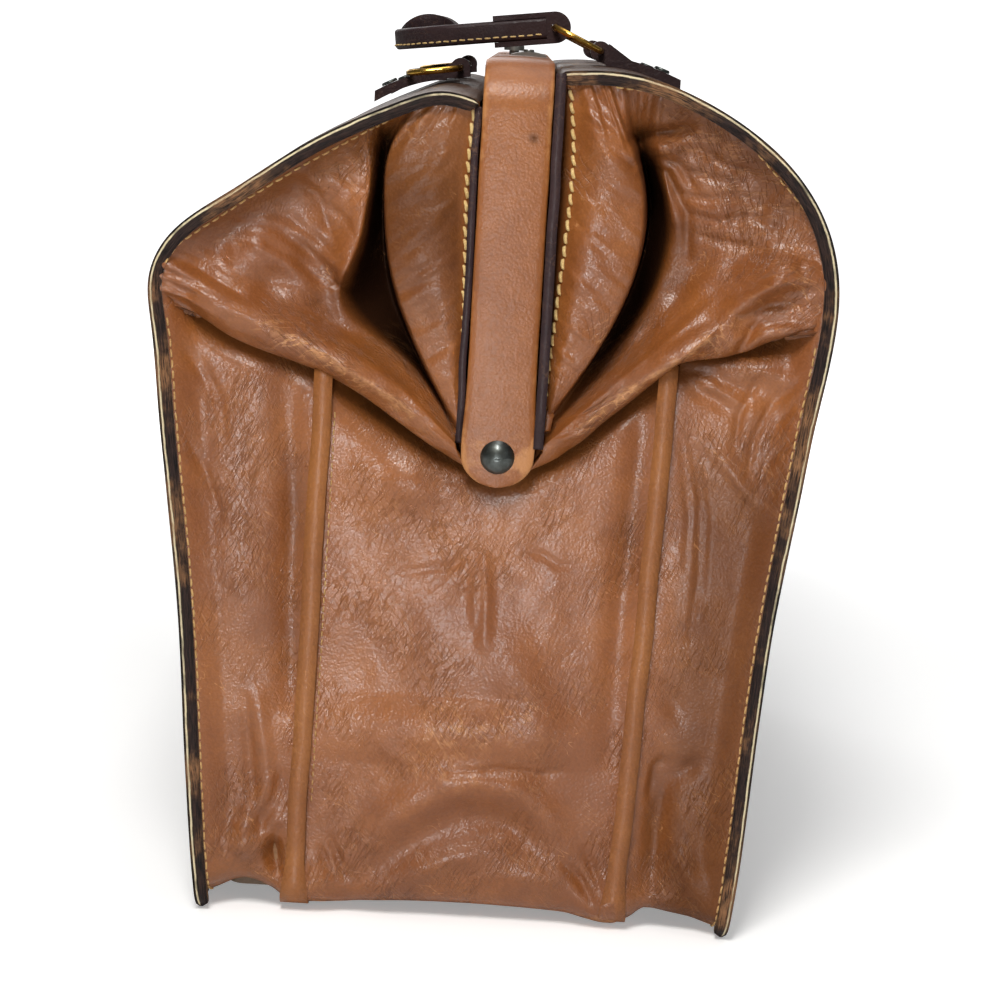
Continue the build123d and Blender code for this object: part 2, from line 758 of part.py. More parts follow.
def main():
    os.makedirs("parts", exist_ok=True)

    # Case body
    save("front_panel", lower_wall(front_wall_line, 1))
    save("rear_panel", lower_wall(rear_wall_line, -1))
    save("gusset_strip", gusset_strip())
    save("front_stay_rib", stay_rib(front_rib_y, front_rib_top))
    save("rear_stay_rib", stay_rib(rear_rib_y, rear_rib_top))
    save("front_lining", lining(front_wall_line, 1))
    save("rear_lining", lining(rear_wall_line, -1))
    save("base_board", base_board())
    save("divider", divider())
    save("divider_pocket", divider_pocket())
    save("frame_rivets", both_ends(frame_rivet()))
    save("rivet_washers", both_ends(rivet_washer()))

    # Front half of the frame
    save("front_frame_bar", steel_half(front_bar_half, front_bar_outer, frame_mid_front, 1, True))
    save("frame_cover_strip", cover_strip())
    save("front_bar_cover", bar_cover(front_bar_outer, -1, bar_under - web_depth))
    save("front_binding", binding(strip_front - soft_gap, -1))
    save("front_shoulder", shoulder(front_shoulder_line))
    save("front_gusset_folds", gusset_fold(-1, front_roll_end, strip_front - soft_gap * 2 - binding_width))
    save("lock_case", lock_case())
    save("lock_plate", lock_plate())
    save("lock_screws", lock_screws())
    save("lock_bolt", lock_bolt())

    # Rear half of the frame
    save("rear_frame_bar", steel_half(rear_bar_half, rear_bar_outer, frame_mid_rear, -1, False))
    save("rear_bar_cover", bar_cover(rear_bar_outer, 1, bar_under - web_depth))
    save("rear_binding", binding(strip_rear + soft_gap, 1))
    save("rear_shoulder", shoulder(rear_shoulder_line))
    save("rear_gusset_folds", gusset_fold(1, rear_roll_end, strip_rear + soft_gap * 2 + binding_width))
    save("lock_catch", lock_catch())

    # Rings, chapes and handle
    front_tabs, rear_tabs, front_rivets, rear_rivets, loops, rear_rings = [], [], [], [], [], []
    for side, name in ((1, "near"), (-1, "far")):
        x = side * chape_x
        save("front_ring_" + name, ring(x, front_eye, front_ring_angle))
        rear_rings.append(ring(x, rear_eye, rear_ring_angle))
        front_tabs.append(chape(x, front_eye, front_shoulder_line, front_tab, front_neck))
        rear_tabs.append(chape(x, rear_eye, rear_shoulder_line, rear_tab, rear_neck))
        front_rivets.append(chape_rivet(x, front_shoulder_line, front_rivet_y))
        rear_rivets.append(chape_rivet(x, rear_shoulder_line, rear_rivet_y))
        loops.append(handle_pose(handle_loop(x)))
    save("rear_rings", rear_rings)
    save("front_chapes", front_tabs)
    save("rear_chapes", rear_tabs)
    save("front_chape_rivets", front_rivets)
    save("rear_chape_rivets", rear_rivets)
    save("handle_strap", handle_pose(handle_strap()))
    save("handle_pad", handle_pose(handle_pad()))
    save("handle_loops", loops)


main()
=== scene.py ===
import math

import bmesh
import bpy
import numpy as np
from mathutils import Matrix, Vector


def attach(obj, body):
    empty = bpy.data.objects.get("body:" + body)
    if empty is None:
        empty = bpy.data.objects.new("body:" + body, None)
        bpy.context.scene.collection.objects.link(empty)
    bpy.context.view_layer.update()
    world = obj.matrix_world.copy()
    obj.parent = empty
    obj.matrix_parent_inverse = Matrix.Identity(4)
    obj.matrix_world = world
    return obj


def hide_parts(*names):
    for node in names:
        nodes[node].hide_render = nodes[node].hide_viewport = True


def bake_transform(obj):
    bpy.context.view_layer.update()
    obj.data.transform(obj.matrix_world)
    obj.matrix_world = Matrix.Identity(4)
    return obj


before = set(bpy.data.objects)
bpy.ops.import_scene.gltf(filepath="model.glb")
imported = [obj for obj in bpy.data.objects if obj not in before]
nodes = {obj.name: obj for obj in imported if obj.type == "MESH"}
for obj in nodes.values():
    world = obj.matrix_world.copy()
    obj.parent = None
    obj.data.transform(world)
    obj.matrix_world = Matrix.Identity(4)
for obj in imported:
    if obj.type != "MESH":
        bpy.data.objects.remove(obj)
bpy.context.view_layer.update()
scene = bpy.context.scene
mm = 0.001

# number helpers


def lengthAlong(p):
    # distance from the first point, added up along the line
    return np.r_[0, np.cumsum(np.linalg.norm(np.diff(p, axis=0), axis=1))]


def unit(v):
    # each vector at length 1
    return v / np.linalg.norm(v, axis=-1, keepdims=True)


def together(*parts):
    # arrays stretched to one shape and stacked as a last axis
    return np.stack(np.broadcast_arrays(*parts), -1)


def step(x, low, high):
    # 0 below low, 1 above high, smooth between
    t = np.clip((x - low) / (high - low), 0, 1)
    return t * t * (3 - 2 * t)


def bell(x, width):
    # 1 at zero, falling smoothly to nothing on both sides
    return np.exp(-(x / width) ** 2)


def fromEnds(count):
    # steps to the nearer end of a row of this many points
    return np.minimum(np.arange(count), np.arange(count)[::-1])


def smoothCurve(points, count):
    # natural cubic spline through the points, read at evenly spaced chord lengths
    p = np.array(points, float)
    d = lengthAlong(p)
    h = np.diff(d)
    n = len(p)
    a = np.eye(n)
    b = np.zeros_like(p)
    k = np.arange(1, n - 1)
    a[k, k - 1] = h[:-1]
    a[k, k] = 2 * (h[:-1] + h[1:])
    a[k, k + 1] = h[1:]
    b[k] = 6 * np.diff(np.diff(p, axis=0) / h[:, None], axis=0)
    m = np.linalg.solve(a, b)
    t = np.linspace(0, d[-1], count)
    i = np.clip(np.searchsorted(d, t, side="right") - 1, 0, n - 2)
    f = ((t - d[i]) / h[i])[:, None]
    hi = h[i][:, None]
    return ((1 - f) * p[i] + f * p[i + 1]
            + hi ** 2 / 6 * (((1 - f) ** 3 - (1 - f)) * m[i] + (f ** 3 - f) * m[i + 1]))


def easyThrough(at, knots, values):
    # monotone cubic through values[k] at knots[k]: no overshoot between knots
    x = np.array(knots, float)
    v = np.array(values, float).reshape(len(x), -1)
    h = np.diff(x)[:, None]
    d = np.diff(v, axis=0) / h
    m = np.zeros_like(v)
    m[0], m[-1] = d[0], d[-1]
    same = d[:-1] * d[1:] > 0
    m[1:-1] = np.where(same, 2 * d[:-1] * d[1:] / np.where(same, d[:-1] + d[1:], 1), 0)
    at = np.clip(np.asarray(at, float), x[0], x[-1])
    i = np.clip(np.searchsorted(x, at, side="right") - 1, 0, len(x) - 2)
    t = ((at - x[i]) / h[i, 0])[..., None]
    hi = h[i]
    out = ((1 + 2 * t) * (1 - t) ** 2 * v[i] + t * (1 - t) ** 2 * hi * m[i]
           + t * t * (3 - 2 * t) * v[i + 1] + t * t * (t - 1) * hi * m[i + 1])
    return out[..., 0] if np.ndim(values) == 1 else out


def unevenness(p, size, seed):
    # smooth value noise from -1 to 1 on cells of this size, drawn from a table by a mix of the cell's numbers
    table = np.random.default_rng(seed).uniform(-1, 1, 4096)
    q = np.asarray(p, float) / size
    cell = np.floor(q).astype(np.int64)
    f = q - cell
    f = f * f * (3 - 2 * f)
    total = 0
    for corner in range(8):
        o = np.array([corner & 1, corner >> 1 & 1, corner >> 2 & 1])
        c = cell + o
        key = (c[..., 0] * 73856093 ^ c[..., 1] * 19349663 ^ c[..., 2] * 83492791) & 4095
        total = total + table[key] * np.prod(np.where(o, f, 1 - f), axis=-1)
    return total


def gridNormals(p):
    # unit normals of a grid of points: cross product of its two directions
    n = np.cross(np.gradient(p, axis=0), np.gradient(p, axis=1))
    return n / np.maximum(np.linalg.norm(n, axis=-1, keepdims=True), 1e-9)


def strokeRelief(y, z, strokes):
    # sum over the strokes (height, width, points) of height times a bell of the distance to the polyline,
    # a bell that fades a little towards both of its ends
    total = np.zeros_like(y)
    for height, width, points in strokes:
        p = np.array(points, float)
        length = lengthAlong(p)
        near, share = np.full_like(y, 1e9), np.zeros_like(y)
        for k in range(len(p) - 1):
            run = p[k + 1] - p[k]
            f = np.clip(((y - p[k, 0]) * run[0] + (z - p[k, 1]) * run[1]) / (run @ run), 0, 1)
            d = np.hypot(y - p[k, 0] - f * run[0], z - p[k, 1] - f * run[1])
            s = (length[k] + f * (length[k + 1] - length[k])) / length[-1]
            near, share = np.where(d < near, d, near), np.where(d < near, s, share)
        total = total + height * bell(near, width) * (0.45 + 0.55 * np.sin(np.pi * share))
    return total


def archLine(wall, face, level, corner, way, arcRows, flatRows):
    # along one end, round a quarter circle, straight across, and the same mirrored, with its outward normal:
    # wall[row, column] holds the heights on the end; way is 1 over the top and -1 under the base
    a = np.linspace(0, np.pi / 2, arcRows)[:-1, None] + 0 * wall[:1]
    across = np.linspace(1, -1, flatRows)[:, None] * (face - corner) + 0 * wall[:1]
    x = np.concatenate([np.full_like(wall, face), face - corner + corner * np.cos(a), across])
    z = np.concatenate([wall, level - way * (corner - corner * np.sin(a)), np.full_like(across, level)])
    nx = np.concatenate([np.ones_like(wall), np.cos(a), 0 * across])
    nz = np.concatenate([0 * wall, way * np.sin(a), way + 0 * across])
    k = len(wall) + len(a)
    return [np.concatenate([part, sign * part[:k][::-1]]) for part, sign in ((x, -1), (z, 1), (nx, -1), (nz, 1))]


# mesh helpers


def meshObject(name, p, faces):
    # smooth mesh of points in millimetres
    mesh = bpy.data.meshes.new(name)
    mesh.from_pydata((p.reshape(-1, 3) * mm).tolist(), [], faces)
    mesh.polygons.foreach_set("use_smooth", np.ones(len(mesh.polygons), bool))
    obj = bpy.data.objects.new(name, mesh)
    scene.collection.objects.link(obj)
    return obj


def gridMesh(name, p, aroundV=False, uv=None, flip=False, masks=None, flow=None, bandMaterial=None):
    # one quad for each cell of the grid p[u, v]; aroundV joins the last column to the first
    nu, nv = p.shape[:2]
    i = np.arange(nu - 1)[:, None]
    j = np.arange(nv if aroundV else nv - 1)[None, :]
    turn = ((0, 0), (1, 0), (1, 1), (0, 1))
    if flip:
        turn = turn[::-1]
    rows = together(*(i + a + 0 * j for a, _ in turn))
    columns = together(*(j + b + 0 * i for _, b in turn))
    obj = meshObject(name, p, (rows * nv + columns % nv).reshape(-1, 4).tolist())
    mesh = obj.data
    if uv is not None:
        mesh.uv_layers.new(name="uv").data.foreach_set("uv", uv[rows, columns].astype(np.float32).ravel())
    for key, value in (masks or {}).items():
        layer = mesh.attributes.new(key, "FLOAT", "POINT")
        layer.data.foreach_set("value", np.broadcast_to(value, (nu, nv)).astype(np.float32).ravel())
    if flow is not None:
        layer = mesh.attributes.new("flow", "FLOAT_VECTOR", "POINT")
        layer.data.foreach_set("vector", (flow * mm).astype(np.float32).ravel())
    if bandMaterial is not None:
        index = np.broadcast_to(bandMaterial, rows.shape[:2])
        mesh.polygons.foreach_set("material_index", index.astype(np.int32).ravel())
    return obj


def tubeMesh(name, p, **settings):
    # gridMesh closed round its columns, with one flat face on each open end
    nu, nv = p.shape[:2]
    obj = gridMesh(name, p, aroundV=True, **settings)
    bm = bmesh.new()
    bm.from_mesh(obj.data)
    bm.verts.ensure_lookup_table()
    for ring in (np.arange(nv)[::-1], np.arange(nv) + (nu - 1) * nv):
        bm.faces.new([bm.verts[int(k)] for k in ring]).smooth = False
    bmesh.ops.recalc_face_normals(bm, faces=bm.faces)
    bm.to_mesh(obj.data)
    bm.free()
    return obj


def thicken(obj, thickness):
    # the sheet's wall grows to its hidden side
    mod = obj.modifiers.new("wall", "SOLIDIFY")
    mod.thickness = thickness * mm
    mod.offset = -1
    mod.use_quality_normals = True


def sweepSection(path, across, section):
    # the section's points (across, out) are carried along the path; out is square to the path and to across
    side = np.tile(np.array(across, float), (len(path), 1))
    out = unit(np.cross(side, unit(np.gradient(path, axis=0))))
    return path[:, None] + side[:, None] * section[..., 0, None] + out[:, None] * section[..., 1, None]


# one stitch: a short capsule whose ends dip into the leather, as shares of its length and radius
capsule = {
    "along": [-0.5, -0.46, -0.36, 0.0, 0.36, 0.46, 0.5], "thick": [0.15, 0.6, 0.95, 1.0, 0.95, 0.6, 0.15],
    "dip": [-0.9, -0.5, -0.15, 0.15, -0.15, -0.5, -0.9], "sides": 6, "turn": 5, "wander": 0.12}


def stitchRow(name, line, normal, look, lean=0):
    # one capsule every pitch along the line, sunk in the leather and each turned a little its own way
    d = lengthAlong(line)
    count = max(2, int(d[-1] / look["pitch"]))
    at = (np.arange(count) + 0.5) * d[-1] / count

    def read(source, t):
        return np.stack([np.interp(t, d, source[:, k]) for k in range(3)], 1)

    centre, up = read(line, at), read(normal, at)
    ahead = unit(read(line, at + 0.4) - read(line, at - 0.4))
    up = unit(up - ahead * np.sum(up * ahead, 1, keepdims=True))
    across = np.cross(up, ahead)
    rng = np.random.default_rng(look["seed"])
    turn = np.radians(lean + rng.uniform(-capsule["turn"], capsule["turn"], count))[:, None]
    ahead, across = ahead * np.cos(turn) + across * np.sin(turn), across * np.cos(turn) - ahead * np.sin(turn)
    wander = rng.uniform(-capsule["wander"], capsule["wander"], (count, 1))
    centre = centre + up * (look["radius"] * (1 - look["sink"])) + across * wander
    along = np.array(capsule["along"])[:, None] * look["length"]
    thick, dip = (np.array(capsule[key])[:, None] * look["radius"] for key in ("thick", "dip"))
    angle = np.linspace(0, 2 * np.pi, capsule["sides"], endpoint=False)[None]
    ring = together(along, thick * np.cos(angle), thick * np.sin(angle) + dip)
    v = np.einsum("rak,nkj->nraj", ring, np.stack([ahead, across, up], 1)) + centre[:, None, None]
    nr, na = ring.shape[:2]
    i, j = np.arange(nr - 1)[:, None], np.arange(na)[None]
    quad = together(i * na + (j + 1) % na, (i + 1) * na + (j + 1) % na, (i + 1) * na + j, i * na + j)
    base = np.arange(count)[:, None] * nr * na
    faces = (quad.reshape(1, -1, 4) + base[..., None]).reshape(-1, 4).tolist()
    faces += (base + j).tolist() + (base + (nr - 1) * na + j[:, ::-1]).tolist()
    return meshObject(name, v, faces)


def dress(obj, slot, *materials):
    # its materials; slot is not used
    for made in materials:
        obj.data.materials.append(made)


# node helpers: a new node goes into the tree of the socket that feeds it


def plug(value, socket):
    # a link where the value is another node's output, else the socket's own value
    if isinstance(value, bpy.types.NodeSocket):
        socket.id_data.links.new(value, socket)
    else:
        socket.default_value = value


def addNode(tree, kind, inputs=None, **settings):
    made = tree.nodes.new("ShaderNode" + kind)
    for key, value in settings.items():
        setattr(made, key, value)
    for key, value in (inputs or {}).items():
        plug(value, made.inputs[key])
    return made


def noise(at, scale, detail=3.0, rough=0.5):
    # a noise texture's value, about 0.5 in the middle
    made = addNode(at.id_data, "TexNoise", {"Vector": at, "Scale": scale, "Detail": detail, "Roughness": rough})
    return made.outputs["Fac"]


def calc(operation, a, b=0.0):
    tree = (a if isinstance(a, bpy.types.NodeSocket) else b).id_data
    return addNode(tree, "Math", {0: a, 1: b}, operation=operation).outputs[0]


def times(a, b):
    return calc("MULTIPLY", a, b)


def plus(a, b):
    return calc("ADD", a, b)


def remap(value, low, high, toLow=0.0, toHigh=1.0):
    # low to high becomes toLow to toHigh, smooth at both and held outside them
    inputs = {0: value, 1: low, 2: high, 3: toLow, 4: toHigh}
    return addNode(value.id_data, "MapRange", inputs, interpolation_type="SMOOTHSTEP").outputs[0]


def painted(tree, name):
    # a mask or vector stored on the mesh
    return addNode(tree, "Attribute", attribute_name=name).outputs


def srgb(r, g, b):
    # a colour as seen on a screen, 0 to 255, to the linear one that nodes take
    c = np.array([r, g, b]) / 255
    c = np.where(c <= 0.04045, c / 12.92, ((c + 0.055) / 1.055) ** 2.4)
    return (*c.tolist(), 1.0)


def mixColour(share, a, b):
    # colours of three values are 0 to 255, those of four are linear already
    a, b = (srgb(*c) if isinstance(c, tuple) and len(c) == 3 else c for c in (a, b))
    return addNode(share.id_data, "Mix", {0: share, 6: a, 7: b}, data_type="RGBA").outputs[2]


def bump(shader, height, strength, distance=0.001):
    # the height's normal, put into the shader
    made = addNode(shader.id_data, "Bump", {"Strength": strength, "Distance": distance, "Height": height})
    plug(made.outputs["Normal"], shader.inputs["Normal"])
    return made.outputs["Normal"]


def newGroup(name, inputs, outputs):
    # inputs are names with their values, or None for a vector
    tree = bpy.data.node_groups.new(name, "ShaderNodeTree")
    for label, value in inputs.items():
        kind = "NodeSocketVector" if value is None else "NodeSocketFloat"
        socket = tree.interface.new_socket(name=label, in_out="INPUT", socket_type=kind)
        if value is not None:
            socket.default_value = value
    for label in outputs:
        tree.interface.new_socket(name=label, in_out="OUTPUT", socket_type="NodeSocketFloat")
    return tree, tree.nodes.new("NodeGroupInput").outputs, tree.nodes.new("NodeGroupOutput").inputs


def newMaterial(name):
    # a material with its tree, shader and the object's own coordinates
    made = bpy.data.materials.new(name)
    made.use_nodes = True
    tree = made.node_tree
    shader = tree.nodes["Principled BSDF"]
    where = tree.nodes.new("ShaderNodeTexCoord").outputs["Object"]
    return made, tree, shader, where


def grainNodes():
    # fine pores of the hide, with a softer unevenness over them
    tree, given, result = newGroup("hideGrain", {"Vector": None, "Pore Size": 0.0012}, ["Height", "Pores"])
    inverse = calc("DIVIDE", 1.0, given["Pore Size"])
    cells = addNode(tree, "TexVoronoi", {"Vector": given["Vector"], "Scale": inverse, "Randomness": 1.0})
    distance = cells.outputs["Distance"]
    fine = noise(given["Vector"], times(inverse, 0.5), 5.0, 0.6)
    domes = remap(distance, 0.05, 0.75, 1.0, 0.0)
    plug(plus(times(domes, 0.35), fine), result["Height"])
    plug(remap(distance, 0.45, 0.8), result["Pores"])
    return tree


def creaseNodes():
    # thin broken lines where a stretched noise passes its middle value; X of the vector runs along them
    tree, given, result = newGroup(
        "hideCreases", {"Vector": None, "Spacing": 0.003, "Turn": 0.0, "Stretch": 0.2}, ["Height", "Lines"])
    at = given["Vector"]
    sway = noise(at, 55.0).node.outputs["Color"]
    shift = addNode(tree, "VectorMath", {0: sway, 1: (0.5, 0.5, 0.5)}, operation="SUBTRACT")
    moved = addNode(tree, "VectorMath", {0: shift.outputs[0], 1: (0.003, 0.003, 0.003), 2: at},
                    operation="MULTIPLY_ADD")
    turned = addNode(tree, "VectorRotate", {"Vector": moved.outputs[0], "Angle": given["Turn"]},
                     rotation_type="Z_AXIS")
    pulled = addNode(tree, "CombineXYZ", {0: given["Stretch"], 1: 1.0, 2: 1.0})
    longer = addNode(tree, "VectorMath", {0: turned.outputs[0], 1: pulled.outputs[0]}, operation="MULTIPLY")
    wrinkle = noise(longer.outputs[0], calc("DIVIDE", 0.5, given["Spacing"]), 3.0, 0.55)
    away = calc("ABSOLUTE", calc("SUBTRACT", wrinkle, 0.5))
    shown = remap(noise(at, 30.0), 0.42, 0.64)
    lines = times(remap(away, 0.0, 0.03, 1.0, 0.0), shown)
    plug(calc("SUBTRACT", times(wrinkle, 0.35), lines), result["Height"])
    plug(lines, result["Lines"])
    return tree


def wearNodes():
    # rubbed patches that follow a mask painted on the mesh, and short pale scratches
    tree, given, result = newGroup("rubbedWear", {"Vector": None, "Mask": 0.0, "Amount": 1.0}, ["Rub", "Scratches"])
    at, mask = given["Vector"], given["Mask"]
    heavier = plus(times(mask, 0.45), times(noise(at, 210.0, 6.0, 0.68), 0.85))
    plug(times(remap(heavier, 0.62, 0.86), times(mask, given["Amount"])), result["Rub"])
    slanted = addNode(tree, "VectorRotate", {"Vector": at, "Angle": 0.6}, rotation_type="X_AXIS")
    pulled = addNode(tree, "VectorMath", {0: slanted.outputs[0], 1: (1.0, 0.16, 1.0)}, operation="MULTIPLY")
    away = calc("ABSOLUTE", calc("SUBTRACT", noise(pulled.outputs[0], 260.0, 2.0), 0.5))
    few = remap(noise(at, 60.0), 0.6, 0.7)
    plug(times(remap(away, 0.0, 0.012, 1.0, 0.0), few), result["Scratches"])
    return tree


grainGroup, creaseGroup, wearGroup = grainNodes(), creaseNodes(), wearNodes()


def leatherMaterial(name, look):
    # polished hide: clouded colour, painted shade in the creases and hollows, a dark stain where a mesh marks one,
    # paler where rubbed;
    # its shine has a soft lobe and a sharper coat, and both go out in the painted shade
    made, tree, shader, where = newMaterial(name)
    along = painted(tree, "flow")["Vector"] if look["follows"] else where
    dark, worn = look["dark"], look["rubbed"]

    def creases(spacing, turn, stretch):
        inputs = {"Vector": along, "Spacing": spacing, "Turn": turn, "Stretch": stretch}
        return addNode(tree, "Group", inputs, node_tree=creaseGroup).outputs

    grain = addNode(tree, "Group", {"Vector": where, "Pore Size": look["pore"]}, node_tree=grainGroup).outputs
    long = creases(look["spacing"], look["turn"], 0.13)
    short = creases(look["spacing"] * 1.7, look["turn"] - 1.0, 0.2)
    # mask is the rubbed wear; deep is the painted shade, which on the strip holds a stain instead
    mask, deep = painted(tree, "rubbed")["Fac"], painted(tree, "shadeAndStain")["Fac"]
    wear = addNode(tree, "Group", {"Vector": where, "Mask": mask, "Amount": look["wear"]}, node_tree=wearGroup).outputs
    clouds = plus(times(noise(where, 16.0, 5.0, 0.6), 0.7),
                  times(noise(where, 95.0, 4.0, 0.65), 0.3))
    cracks = plus(look["paleShare"], times(mask, look["cracks"]))
    colour = mixColour(remap(clouds, 0.36, 0.64), look["colour"], look["colour2"])
    # mixed in turn: painted shade from the mask, painted shade along the crease lines, darker pores, rubbed patches and
    # scratches
    for share, other in ((times(deep, look["shadeAndStainShare"]), dark),
                         (times(long["Lines"], look["lineShare"]), dark),
                         (times(short["Lines"], cracks), worn),
                         (times(grain["Pores"], look["poreShare"]), dark),
                         (wear["Rub"], worn),
                         (times(wear["Scratches"], look["scratch"]), worn)):
        colour = mixColour(share, colour, other)
    plug(colour, shader.inputs["Base Color"])
    rough = remap(clouds, 0.3, 0.7, look["rough"] - 0.05, look["rough"] + 0.08)
    plug(plus(rough, times(wear["Rub"], 0.12)), shader.inputs["Roughness"])
    height = times(grain["Height"], look["grainHeight"])
    height = plus(height, times(long["Height"], look["creaseHeight"]))
    height = plus(height, times(short["Height"], look["creaseHeight"] * 0.55))
    plug(bump(shader, height, look["bump"]), shader.inputs["Coat Normal"])
    # the painted shade also takes the shine and the coat away
    plug(remap(deep, 0.25, 0.9, look["shine"], 0.04), shader.inputs["Specular IOR Level"])
    plug(remap(deep, 0.15, 0.6, look["polish"], 0.0), shader.inputs["Coat Weight"])
    shader.inputs["Coat Roughness"].default_value = 0.25
    return made


# the case's tan hide, and what each other leather has of its own; colours 0 to 255, sizes in metres
# dark is the colour mixed in for painted shade, for the painted shade along crease lines and for the pores
tanHide = {
    "colour": (148, 87, 38), "colour2": (126, 70, 29), "dark": (26, 14, 9), "rubbed": (200, 142, 90),
    "follows": True, "pore": 0.0011, "spacing": 0.00105, "turn": 0.4, "lineShare": 0.05, "paleShare": 0.13,
    "cracks": 1.0, "poreShare": 0.1, "shadeAndStainShare": 0.96, "wear": 0.7, "scratch": 0.5, "rough": 0.43,
    "grainHeight": 0.19, "creaseHeight": 0.2, "bump": 0.95, "shine": 0.4, "polish": 0.5}
hides = {
    "tanHide": {},
    "strapHide": {
        "colour": (143, 84, 37), "colour2": (126, 71, 30), "rubbed": (184, 128, 78), "follows": False,
        "spacing": 0.004, "lineShare": 0.04, "paleShare": 0.0, "cracks": 0.05, "grainHeight": 0.12,
        "creaseHeight": 0.03, "rough": 0.44, "scratch": 0.06, "shine": 0.34, "polish": 0.12},
    "ribHide": {
        "colour": (150, 93, 44), "colour2": (132, 78, 36), "rubbed": (182, 124, 72), "follows": False,
        "paleShare": 0.0, "cracks": 0.1, "creaseHeight": 0.05, "rough": 0.44, "shine": 0.42, "polish": 0.1},
    "darkHide": {
        "colour": (78, 52, 36), "colour2": (52, 35, 27), "dark": (32, 22, 20), "rubbed": (146, 108, 68),
        "follows": False, "rough": 0.5, "shine": 0.22, "polish": 0.1},
    "inkedHide": {
        "colour": (58, 42, 42), "colour2": (42, 29, 31), "dark": (20, 14, 16), "rubbed": (128, 92, 66),
        "follows": False, "rough": 0.46, "wear": 0.85, "creaseHeight": 0.14, "scratch": 0.3, "shine": 0.16,
        "polish": 0.1}}
tanLeather, strapLeather, ribLeather, darkLeather, inkedLeather = (
    leatherMaterial(name, {**tanHide, **changes}) for name, changes in hides.items())

# raw edge of the layered panel: shares of its thickness from the outer face, colours 0 to 255
rawEdge = {
    "outerEnd": (0.3, 0.36), "lineStart": (0.23, 0.27), "lineEnd": (0.33, 0.38), "line": (226, 210, 172),
    "ink": ((9, 6, 7), (62, 44, 38)), "outer": ((26, 19, 18), (74, 58, 46)), "worn": (146, 104, 70),
    "wobble": 0.16, "lineDip": -0.5, "fibreRise": 0.8}


def edgeMaterial():
    # U runs from the outer face to the inner one, V along the edge in metres; fibres are a noise drawn out along V
    made, tree, shader, where = newMaterial("inkedEdge")
    uv = addNode(tree, "UVMap", uv_map="uv").outputs[0]
    parts = addNode(tree, "SeparateXYZ", {0: uv}).outputs
    wobble = calc("SUBTRACT", noise(where, 90.0, 5.0, 0.7), 0.5)
    across = plus(parts[0], times(wobble, rawEdge["wobble"]))
    drawn = addNode(tree, "CombineXYZ", {0: times(across, 0.02), 1: times(parts[1], 0.16), 2: 0.0})
    fibre = noise(drawn.outputs[0], 900.0, 5.0, 0.7)
    patch = noise(where, 30.0, 5.0, 0.66)
    ink = mixColour(remap(fibre, 0.35, 0.7), *rawEdge["ink"])
    outer = mixColour(remap(patch, 0.4, 0.62), *rawEdge["outer"])
    colour = mixColour(remap(across, *rawEdge["outerEnd"]), outer, ink)
    line = times(remap(across, *rawEdge["lineStart"]), remap(across, *rawEdge["lineEnd"], 1.0, 0.0))
    colour = mixColour(times(line, remap(patch, 0.36, 0.5, 0.25, 1.0)), colour, rawEdge["line"])
    worn = plus(times(painted(tree, "rubbed")["Fac"], 0.34), patch)
    worn = times(remap(worn, 0.69, 0.88), remap(fibre, 0.34, 0.6))
    plug(mixColour(worn, colour, rawEdge["worn"]), shader.inputs["Base Color"])
    plug(remap(fibre, 0.3, 0.7, 0.36, 0.6), shader.inputs["Roughness"])
    shader.inputs["Specular IOR Level"].default_value = 0.2
    bump(shader, plus(times(fibre, rawEdge["fibreRise"]), times(line, rawEdge["lineDip"])), 0.8)
    return made


inkedEdge = edgeMaterial()


def suedeMaterial(name, base, other, size, rough, rise):
    # short nap: fine noise in colour and height
    made, _, shader, where = newMaterial(name)
    nap = noise(where, size, 6.0, 0.7)
    share = plus(times(nap, 0.6), times(noise(where, 22.0), 0.5))
    plug(mixColour(remap(share, 0.35, 0.75), base, other), shader.inputs["Base Color"])
    plug(remap(nap, 0.2, 0.8, rough, min(1.0, rough + 0.12)), shader.inputs["Roughness"])
    bump(shader, nap, rise)
    return made


liningSuede = suedeMaterial("liningSuede", (150, 112, 78), (118, 84, 56), 900.0, 0.85, 0.35)
greyBoard = suedeMaterial("greyBoard", (120, 104, 88), (96, 80, 66), 500.0, 0.9, 0.3)
threadCord = suedeMaterial("threadCord", (208, 168, 108), (160, 112, 62), 1400.0, 0.6, 0.5)
palerCord = suedeMaterial("palerCord", (226, 196, 134), (186, 146, 84), 1400.0, 0.6, 0.5)


def metalMaterial(name, base, dull, rough, roughDull):
    # rubbed metal: bright where handled, dull film elsewhere, hairline scratches in the height
    made, tree, shader, where = newMaterial(name)
    drawn = addNode(tree, "VectorMath", {0: where, 1: (1.0, 6.0, 6.0)}, operation="MULTIPLY").outputs[0]
    hair = noise(drawn, 420.0)
    share = remap(noise(where, 130.0, 5.0, 0.6), 0.42, 0.68)
    plug(mixColour(share, base, dull), shader.inputs["Base Color"])
    rough = remap(share, 0.0, 1.0, rough, roughDull)
    plug(plus(rough, times(hair, 0.06)), shader.inputs["Roughness"])
    shader.inputs["Metallic"].default_value = 1.0
    bump(shader, hair, 0.06, 0.0002)
    return made


frameSteel = metalMaterial("frameSteel", (150, 148, 143), (122, 120, 115), 0.36, 0.46)
darkSteel = metalMaterial("darkSteel", (96, 100, 98), (66, 68, 64), 0.28, 0.45)
brass = metalMaterial("ringBrass", (222, 178, 84), (158, 116, 48), 0.16, 0.36)
print("materials ready")

